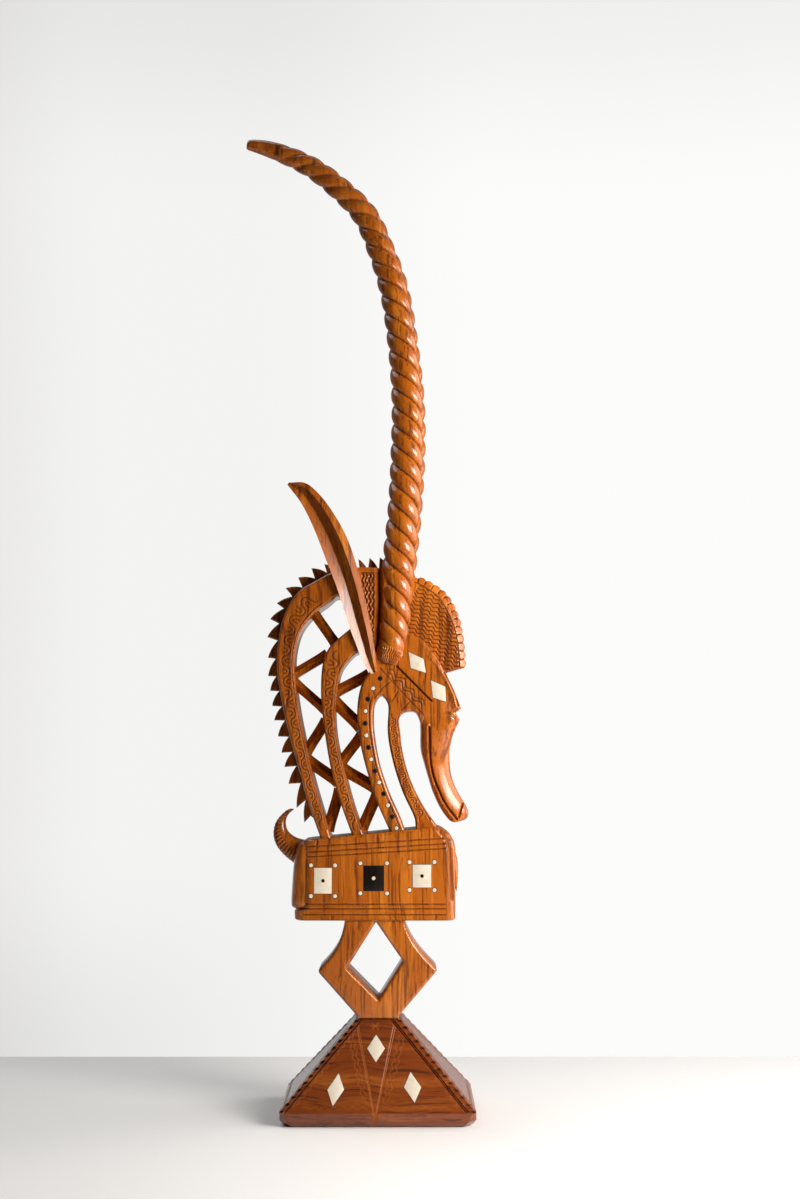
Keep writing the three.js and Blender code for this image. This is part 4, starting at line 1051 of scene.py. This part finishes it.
def crest_notches(dense, start, scallops):
    """Where the scallops meet, and the way out of the fan there."""
    for i in range(scallops + 1):
        share = start + (1 - start) * i / scallops
        k = min(int(600 * share), 599)
        t = unit(dense[k + 1] - dense[k])
        yield share, np.array([-t[1], t[0]])


def build_muzzle():
    """The long muzzle with its lips and nostrils."""
    lips, nostril = smooth_line(LIPS, 60), smooth_line(NOSTRIL, 10)

    def place(u, v):
        jx, jz, nx, nz, half, square = rows_at(MUZZLE, v).T
        angle = 2 * np.pi * u
        c, s = np.cos(angle), np.sin(angle)
        mix = 0.5 - 0.5 * swollen(c, 2 / square)
        x, z = jx + (nx - jx) * mix, jz + (nz - jz) * mix
        lower = np.clip(v * 4 - 1, 0, 1)
        turned = 1 + lower * (0.1 - 0.42 * mix)
        y = half * turned * swollen(s, 2 / (square + 1.5 * lower))
        inner = np.abs(s) > 0.12
        spots = np.column_stack([x, z])
        moved, drop, _ = engrave(spots, [([lips], 1.5, 1), ([nostril], 1.3, 0.8)], 0.9)
        x, z = np.where(inner, moved[:, 0], x), np.where(inner, moved[:, 1], z)
        away, near = nearest(np.column_stack([x, z]), [lips])
        lip = np.exp(-((away - 2.4) / 1.1) ** 2) * (x < near[:, 0]) * (v < 0.93)
        y = y * (1 + 0.05 * lip) - np.sign(y) * drop * inner * 2.6
        # Painted shade: the lip slit and the nostril darken with their depth.
        return np.column_stack([x, -y, NECK_FOOT + z]), np.clip(drop * 1.3, 0, 1) * inner

    bm = new_net()
    sheet(bm, 96, 170, place)
    finish_carving("muzzle", bm)


def build_ears():
    """The two long ears, each a leaf hollowed between two rims."""
    ridges = [(0, 0.16), (0.38, 0), (0.75, 0.36), (1, 0.3), (0.74, -0.26), (0.1, -0.22), (0, 0.16)]
    section = faceted(ridges, 9)
    count = len(section) - 1
    bm = new_net()
    for side in (-1, 1):
        def place(u, v):
            rear, front = rows_at(EAR_REAR, v), rows_at(EAR_FRONT, v)
            along = (rows_at(EAR_REAR, np.minimum(v + 0.02, 1))
                     - rows_at(EAR_REAR, np.maximum(v - 0.02, 0)))
            wide = np.abs(cross(front - rear, unit(along)))
            mix, height = section[np.rint(u * count).astype(int)].T
            full = np.sin(np.pi * (0.12 + 0.8 * v)) ** 0.6
            skin = NECK_FACE + 1.5 + 10.5 * (1 - v)
            lift = height * np.where(height > 0, wide, 20 * full) - 2 * full
            flat = rear + (front - rear) * mix[:, None]
            far = np.sqrt(1 - v) * (side > 0)
            # Painted shade: the hollow's steep middle facet, turned away from the key light, is
            # darkened.
            painted_shade_facet = np.clip((mix - 0.4) / 0.06, 0, 1) * (mix < 0.74) * (height > 0.01)
            return np.column_stack([flat[:, 0] - 4 * far, side * (skin + lift),
                                    NECK_FOOT + flat[:, 1] + 10 * far]), 0.45 * painted_shade_facet

        sheet(bm, count, 150, place)
    finish_carving("ears", bm, crease=28)


def build_horn(name, side):
    """One horn: a rope of three strands on a long backward curve."""
    far = 1 if side > 0 else 0
    strands, sections, half_apart, root_out, root_length = 3, 520, 13.75, 6, 16
    strand = np.array([0, 0.03, 0.07, 0.12, 0.19, 0.27, 0.36, 0.46, 0.56, 0.66, 0.75, 0.83, 0.89,
                       0.935, 0.96, 0.985, 1])
    per = len(strand) - 1
    line = smooth_line(HORN_LINE, sections)
    share = (line[:, 1] - line[0, 1]) / (line[-1, 1] - line[0, 1])
    line[:, 0] += far * 2.6 * np.sin(np.pi * share)
    line[:, 1] += far * 11 * share
    line = evenly(line, sections)
    run = way_along(line[:, :2])
    tangent = unit(np.gradient(line[:, :2], axis=0))
    lead, deep = sizes().rope_lead / MM, sizes().rope_depth

    def profile(phase):
        bend = np.where(phase < 0.5, (0.5 - phase) / 0.5, (phase - 0.5) / 0.44)
        lip = np.clip((phase - 0.94) / 0.05, 0, 1)
        return 1.04 - deep * np.maximum(0.8 * np.minimum(np.abs(bend), 1) ** 2.5, lip)

    def place(u, v):
        col = np.rint(u * per * strands).astype(int)
        row = np.rint(v * sections).astype(int)
        phase = strand[col % per]
        angle = 2 * np.pi * (col // per + phase) / strands - 2 * np.pi * run[row] / lead
        fade = np.clip((run[-1] - run[row] - 22) / 26, 0, 1) * np.clip((run[row] - 6) / 22, 0, 1)
        shaped = 1 + (profile(phase) - 1) * fade
        tip = np.clip((run[row] - run[-1] + 2.2) / 2.2, 0, 1)
        radius = line[row, 2] * shaped * (1 - 0.15 * tip ** 2)
        out = radius * np.cos(angle)
        # Painted shade, partly pooled varnish: each strand darkens next to its grooves.
        dark = (0.8 * np.clip(1 - phase / 0.16, 0, 1) ** 1.5 + 0.7 * (phase > 0.98)) * fade
        apart = half_apart + root_out * (1 - np.clip(run[row] / 60, 0, 1))
        return np.column_stack([
            line[row, 0] + tangent[row, 1] * out, side * (apart - radius * np.sin(angle)),
            NECK_FOOT + line[row, 1] - tangent[row, 0] * out]), dark

    def root(u, v):
        """The rounded end under the ear, cut with rippled flutes."""
        walk, angle = root_length * v, 2 * np.pi * u
        at = [np.interp(walk, run, column) for column in (*line.T, *tangent.T)]
        fading = np.clip((root_length - walk) / 3, 0, 1)
        flute = np.cos(34 * angle + 1.1 * np.sin(0.9 * walk)) * fading
        radius = at[2] * (1.05 - 0.09 * v ** 4 + 0.06 * flute)
        # Painted shade: the flutes' hollows darken.
        return np.column_stack([
            at[0] + at[4] * radius * np.cos(angle),
            side * (half_apart + root_out - walk / 10 - radius * np.sin(angle)),
            NECK_FOOT + at[1] - at[3] * radius * np.cos(angle)]), np.clip(-flute, 0, 1) * 0.9

    bm = new_net()
    sheet(bm, per * strands, sections, place)
    sheet(bm, 204, 24, root)
    finish_carving(name, bm, crease=60)


# Inlays

def face_matrix(origin, along, up):
    """A face's own frame: x along it, y up it and z out of it."""
    x, y = Vector(along).normalized(), Vector(up).normalized()
    return Matrix.Translation(origin) @ Matrix((x, y, x.cross(y))).transposed().to_4x4()


def body_matrix(side):
    return face_matrix((0, side * BODY_FACE, BODY_FOOT), (-side, 0, 0), (0, 0, 1))


def neck_matrix(side):
    return face_matrix((0, side * NECK_FACE, NECK_FOOT), (-side, 0, 0), (0, 0, 1))


def slope_matrix():
    return face_matrix((0, -PLINTH_HIGH.y, PLINTH_BAND), (1, 0, 0),
                       (0, PLINTH_HIGH.y - PLINTH_TOP_Y, SLOPE_RISE))


def add_tile(bm, outline, matrix, proud, depth, arris=0.3):
    """A flat inlay with its arris broken."""
    verts = [bm.verts.new((x, y, -depth)) for x, y in outline]
    face = bm.faces.new(verts)
    if face.normal.z < 0:
        face.normal_flip()
    top = bmesh.ops.extrude_face_region(bm, geom=[face])
    lifted = [g for g in top["geom"] if isinstance(g, bmesh.types.BMVert)]
    bmesh.ops.translate(bm, verts=lifted, vec=(0, 0, depth + proud))
    made = []
    if arris:
        rim = {e for v in lifted for e in v.link_edges if all(w in lifted for w in e.verts)}
        made = bmesh.ops.bevel(bm, geom=list(rim), offset=arris, offset_type="OFFSET", segments=2,
                               profile=0.5, affect="EDGES", material=-1)["verts"]
    whole = {v for v in (*verts, *lifted, *made) if v.is_valid}
    bmesh.ops.transform(bm, matrix=matrix, verts=list(whole))


def round_outline(x, y, radius, count=20):
    angles = [2 * math.pi * i / count for i in range(count)]
    return [(x + radius * math.cos(a), y + radius * math.sin(a)) for a in angles]


def grown(outline, distance):
    """The outline with every side moved out by the distance."""
    p = np.array(outline, float)
    middle = p.mean(0)
    edge = np.roll(p, -1, axis=0) - p
    normal = np.column_stack([edge[:, 1], -edge[:, 0]]) / np.linalg.norm(edge, axis=1)[:, None]
    flip = np.sign((normal * (p - middle)).sum(1))
    normal *= flip[:, None]
    offset = (normal * p).sum(1) + distance
    before, last = np.roll(normal, 1, axis=0), np.roll(offset, 1)
    det = cross(before, normal)
    return np.column_stack([(last * normal[:, 1] - offset * before[:, 1]) / det,
                            (before[:, 0] * offset - normal[:, 0] * last) / det])


def rectangle(x, z, width, height):
    return [(x - width / 2, z - height / 2), (x + width / 2, z - height / 2),
            (x + width / 2, z + height / 2), (x - width / 2, z + height / 2)]


def build_tiles():
    """The tiles of both sides of the body, with the eye in the middle of each."""
    proud = sizes().proud / MM
    for kind, other in (("bone", "ebony"), ("ebony", "bone")):
        tiles, eyes, names, eye_names = bmesh.new(), bmesh.new(), [], []
        for side, tag in ((-1, "near"), (1, "far")):
            for name, x, z, width, height, made_of in TILES:
                if made_of != kind:
                    continue
                outline = rectangle(-side * x, z, width, height)
                add_tile(tiles, outline, body_matrix(side), proud, TILE_DEPTH)
                add_tile(eyes, round_outline(-side * x, z, EYE_RADIUS), body_matrix(side),
                         proud + 0.12, EYE_DEPTH, 0.35)
                names.append(f"{tag}_{name}_tile")
                eye_names.append(f"{tag}_{name}_tile_peg")
        finish_piece(f"{kind}_tiles", tiles, kind, names)
        finish_piece(f"{other}_eyes", eyes, other, eye_names)


def build_diamonds():
    """The bone diamonds of the head and of the plinth."""
    proud = sizes().proud / MM
    bm, names = bmesh.new(), []
    for side, tag in ((-1, "near"), (1, "far")):
        for name, corners in HEAD_DIAMONDS:
            outline = [(-side * x, z) for x, z in corners]
            add_tile(bm, outline, neck_matrix(side), proud, TILE_DEPTH)
            names.append(f"{tag}_{name}_diamond")
    for name, outline in plinth_diamonds():
        add_tile(bm, outline, slope_matrix(), proud, TILE_DEPTH)
        names.append(f"plinth_diamond_{name}")
    finish_piece("bone_diamonds", bm, "bone", names)


def plinth_diamonds():
    """The outlines of the plinth's diamonds on its slope."""
    for name, x, z, width, height, lean in PLINTH_DIAMONDS:
        w, h, y = width / 2, height / 2, (z - PLINTH_BAND) / SLOPE_RISE * SLOPE_LENGTH
        yield name, [(x + lean * h, y + h), (x - w, y), (x - lean * h, y - h), (x + w, y)]


def corner_spots(tile):
    """The middles of the four pegs round a tile, each with its letter."""
    _, x, z, width, height, _ = tile
    out, up = width / 2 + CORNER_PEG_OUT[0], height / 2 + CORNER_PEG_OUT[1]
    for letter, sx, sz in (("a", -1, 1), ("b", 1, 1), ("c", -1, -1), ("d", 1, -1)):
        yield letter, (x + sx * out, z + sz * up)


def build_pegs():
    """The round pegs at the tiles' corners and down the third rib."""
    proud = sizes().proud / MM
    meshes = {"bone": bmesh.new(), "ebony": bmesh.new()}
    names = {"bone": [], "ebony": []}
    for tile in TILES:
        for letter, spot in corner_spots(tile):
            add_tile(meshes["bone"], round_outline(*spot, PEG_RADIUS), body_matrix(-1),
                     proud, PEG_DEPTH, 0.5)
            names["bone"].append(f"{tile[0]}_tile_corner_peg_{letter}")
    for i, (x, z) in enumerate(smooth_line(PEG_ROW, 13)):
        kind = "bone" if i % 2 else "ebony"
        for side in (-1, 1):
            add_tile(meshes[kind], round_outline(-side * x, z, PEG_RADIUS), neck_matrix(side),
                     proud, PEG_DEPTH, 0.5)
        names[kind].append(f"rib_peg_{i + 1:02d}")
    for kind, bm in meshes.items():
        finish_piece(f"{kind}_pegs", bm, kind, names[kind])


def build_glue_lines():
    """The thin dark line round each inlay."""
    bm, lift, wide = bmesh.new(), 0.04, 0.34

    def line_round(outline, matrix):
        add_tile(bm, outline, matrix, lift, GLUE_DEPTH, 0)

    for side in (-1, 1):
        for _, x, z, width, height, _ in TILES:
            line_round(grown(rectangle(-side * x, z, width, height), wide), body_matrix(side))
        for _, corners in HEAD_DIAMONDS:
            line_round(grown([(-side * x, z) for x, z in corners], wide), neck_matrix(side))
        for x, z in smooth_line(PEG_ROW, 13):
            line_round(round_outline(-side * x, z, PEG_RADIUS + wide), neck_matrix(side))
    for tile in TILES:
        for _, spot in corner_spots(tile):
            line_round(round_outline(*spot, PEG_RADIUS + wide), body_matrix(-1))
    for _, outline in plinth_diamonds():
        line_round(grown(outline, wide), slope_matrix())
    finish_piece("glue_lines", bm, "glue")


# Studio

def build_studio():
    """A white table, a pale surround, soft lamps and the camera."""
    bm = bmesh.new()
    bmesh.ops.create_grid(bm, x_segments=8, y_segments=8, size=0.5)
    bmesh.ops.scale(bm, vec=(6, 0.964, 1), verts=bm.verts)
    bmesh.ops.translate(bm, vec=(0, -0.218, 0), verts=bm.verts)
    made = bmesh.ops.extrude_face_region(bm, geom=bm.faces[:])
    low = [g for g in made["geom"] if isinstance(g, bmesh.types.BMVert)]
    bmesh.ops.translate(bm, vec=(0, 0, -0.04), verts=low)
    bmesh.ops.recalc_face_normals(bm, faces=bm.faces)
    mesh = bpy.data.meshes.new("table_top")
    bm.to_mesh(mesh)
    bm.free()
    mesh.materials.append(material("table"))
    table = put_in_scene("table_top", mesh)

    world = bpy.data.worlds.new("pale_surround")
    bpy.context.scene.world = world
    world.use_nodes = True
    nodes = Nodes(world.node_tree)
    way = nodes.add("ShaderNodeTexCoord", output="Generated")
    east, north, above = (nodes.add("ShaderNodeSeparateXYZ", None, way, output=k) for k in range(3))
    # What the varnish mirrors: dim in front, brighter behind, and brightest the floor behind
    floor_behind = nodes.spread(north, 0.6, 0.9) * nodes.spread(above * -1, -0.03, 0.05)
    room = 0.02 + 0.2 * nodes.spread(north, -0.25, 0.35) + 0.5 * floor_behind
    lit = nodes.add("ShaderNodeBackground", None, (1, 0.99, 0.97, 1), room)
    # The backdrop the camera sees has painted falloff: it greys and darkens towards the left and
    # the top, and low down on the left by the table's edge.
    left = nodes.spread(east * -1, 0.17, 0.27)
    west = nodes.spread(east * -1, 0.02, 0.24)
    backdrop_shade_left = nodes.spread(east * -1, -0.06, 0.09)
    pale = nodes.mix(left, (1, 1, 0.99), (0.9, 0.89, 0.87))
    backdrop_shade_low_left = nodes.spread(above * -1, 0.06, 0.19) * west
    backdrop_falloff_shade = 0.12 * nodes.spread(above, 0.32, 0.46) + 0.12 * backdrop_shade_low_left
    seen = nodes.add("ShaderNodeBackground", None, pale, 0.975 - 0.075 * backdrop_shade_left - backdrop_falloff_shade)
    camera_ray = nodes.add("ShaderNodeLightPath", output="Is Camera Ray")
    both = nodes.add("ShaderNodeMixShader", None, camera_ray, lit, seen)
    nodes.join(both, world.node_tree.nodes["World Output"].inputs[0])

    lamps = [
        ("key", (0.68, -0.57, 0.5), (0.03, 0, 0.42), 0.5, 0.36, 12.4, (1, 0.96, 0.9)),
        ("side", (1.5, 0.1, 0.7), (0, 0, 0.4), 1.2, 1.4, 18, (1, 0.97, 0.94)),
        ("top", (-1.0, 0.3, 2.3), (-0.6, 0, 0), 1.8, 1.4, 18, (1, 1, 1)),
    ]
    for name, spot, aim, width, height, power, tint in lamps:
        data = bpy.data.lights.new(name, "AREA")
        data.shape = "RECTANGLE"
        data.size, data.size_y = width, height
        data.energy = power
        data.color = tint
        lamp = put_in_scene(name, data)
        lamp.location = spot
        lamp.rotation_euler = (Vector(aim) - Vector(spot)).to_track_quat("-Z", "Y").to_euler()

    camera = bpy.data.cameras.new("camera")
    camera.lens = 48.04
    camera.sensor_width = 36
    eye = put_in_scene("camera", camera)
    eye.location = (0.0196, -1.507, 0.333)
    eye.rotation_euler = (math.radians(95.3), 0, 0)
    bpy.context.scene.camera = eye
    bpy.context.scene.view_settings.view_transform = "Standard"


# Operators

class CarveOperator:
    """Runs one builder as an operator."""
    bl_options = {"REGISTER", "UNDO"}

    def execute(self, context):
        self.build()
        return {"FINISHED"}


class HEADDRESS_OT_plinth(CarveOperator, bpy.types.Operator):
    """Make the pyramid plinth"""
    bl_idname = "headdress.plinth"
    bl_label = "Plinth"
    build = staticmethod(build_plinth)


class HEADDRESS_OT_stand(CarveOperator, bpy.types.Operator):
    """Make the open diamond"""
    bl_idname = "headdress.stand"
    bl_label = "Open diamond"
    build = staticmethod(build_stand)


class HEADDRESS_OT_body(CarveOperator, bpy.types.Operator):
    """Make the box body with its flap and leaf"""
    bl_idname = "headdress.body"
    bl_label = "Body"
    build = staticmethod(build_body)


class HEADDRESS_OT_tail(CarveOperator, bpy.types.Operator):
    """Make the curled tail"""
    bl_idname = "headdress.tail"
    bl_label = "Tail"
    build = staticmethod(build_tail)


class HEADDRESS_OT_neck(CarveOperator, bpy.types.Operator):
    """Make the neck ribs and the head"""
    bl_idname = "headdress.neck"
    bl_label = "Neck and head"
    build = staticmethod(build_neck)


class HEADDRESS_OT_braces(CarveOperator, bpy.types.Operator):
    """Make the bars between the ribs"""
    bl_idname = "headdress.braces"
    bl_label = "Braces"
    build = staticmethod(build_braces)


class HEADDRESS_OT_mane(CarveOperator, bpy.types.Operator):
    """Make the mane's teeth"""
    bl_idname = "headdress.mane"
    bl_label = "Mane teeth"
    build = staticmethod(build_mane)


class HEADDRESS_OT_crest(CarveOperator, bpy.types.Operator):
    """Make the fan between the horns"""
    bl_idname = "headdress.crest"
    bl_label = "Crest fan"
    build = staticmethod(build_crest)


class HEADDRESS_OT_muzzle(CarveOperator, bpy.types.Operator):
    """Make the muzzle"""
    bl_idname = "headdress.muzzle"
    bl_label = "Muzzle"
    build = staticmethod(build_muzzle)


class HEADDRESS_OT_ears(CarveOperator, bpy.types.Operator):
    """Make the two ears"""
    bl_idname = "headdress.ears"
    bl_label = "Ears"
    build = staticmethod(build_ears)


class HEADDRESS_OT_horns(CarveOperator, bpy.types.Operator):
    """Make the two twisted horns"""
    bl_idname = "headdress.horns"
    bl_label = "Horns"

    @staticmethod
    def build():
        build_horn("horn_near", -1)
        build_horn("horn_far", 1)


class HEADDRESS_OT_inlays(CarveOperator, bpy.types.Operator):
    """Make the tiles, diamonds and pegs with their glue lines"""
    bl_idname = "headdress.inlays"
    bl_label = "Inlays"

    @staticmethod
    def build():
        build_tiles()
        build_diamonds()
        build_pegs()
        build_glue_lines()


class HEADDRESS_OT_studio(CarveOperator, bpy.types.Operator):
    """Set up the table, the lamps and the camera"""
    bl_idname = "headdress.studio"
    bl_label = "Studio"
    build = staticmethod(build_studio)


OPERATORS = (
    HEADDRESS_OT_plinth, HEADDRESS_OT_stand, HEADDRESS_OT_body, HEADDRESS_OT_tail,
    HEADDRESS_OT_neck, HEADDRESS_OT_braces, HEADDRESS_OT_mane, HEADDRESS_OT_crest,
    HEADDRESS_OT_muzzle, HEADDRESS_OT_ears, HEADDRESS_OT_horns, HEADDRESS_OT_inlays,
    HEADDRESS_OT_studio)


class HEADDRESS_PT_panel(bpy.types.Panel):
    """Sizes, colours and steps of the headdress"""
    bl_idname = "HEADDRESS_PT_panel"
    bl_label = "Headdress"
    bl_space_type = "VIEW_3D"
    bl_region_type = "UI"
    bl_category = "Headdress"

    def draw(self, context):
        for group in (context.scene.headdress_sizes, context.scene.headdress_colours):
            box = self.layout.box()
            for name in group.__annotations__:
                box.prop(group, name)
        for operator in OPERATORS:
            self.layout.operator(operator.bl_idname)


CLASSES = (HeaddressSizes, HeaddressColours, *OPERATORS, HEADDRESS_PT_panel)


def register():
    for item in CLASSES:
        bpy.utils.register_class(item)
    bpy.types.Scene.headdress_sizes = bpy.props.PointerProperty(type=HeaddressSizes)
    bpy.types.Scene.headdress_colours = bpy.props.PointerProperty(type=HeaddressColours)


def unregister():
    del bpy.types.Scene.headdress_colours
    del bpy.types.Scene.headdress_sizes
    for item in reversed(CLASSES):
        bpy.utils.unregister_class(item)


def main():
    """Builds every piece."""
    register()
    for operator in OPERATORS:
        group, name = operator.bl_idname.split(".")
        getattr(getattr(bpy.ops, group), name)()


if __name__ == "__main__":
    main()
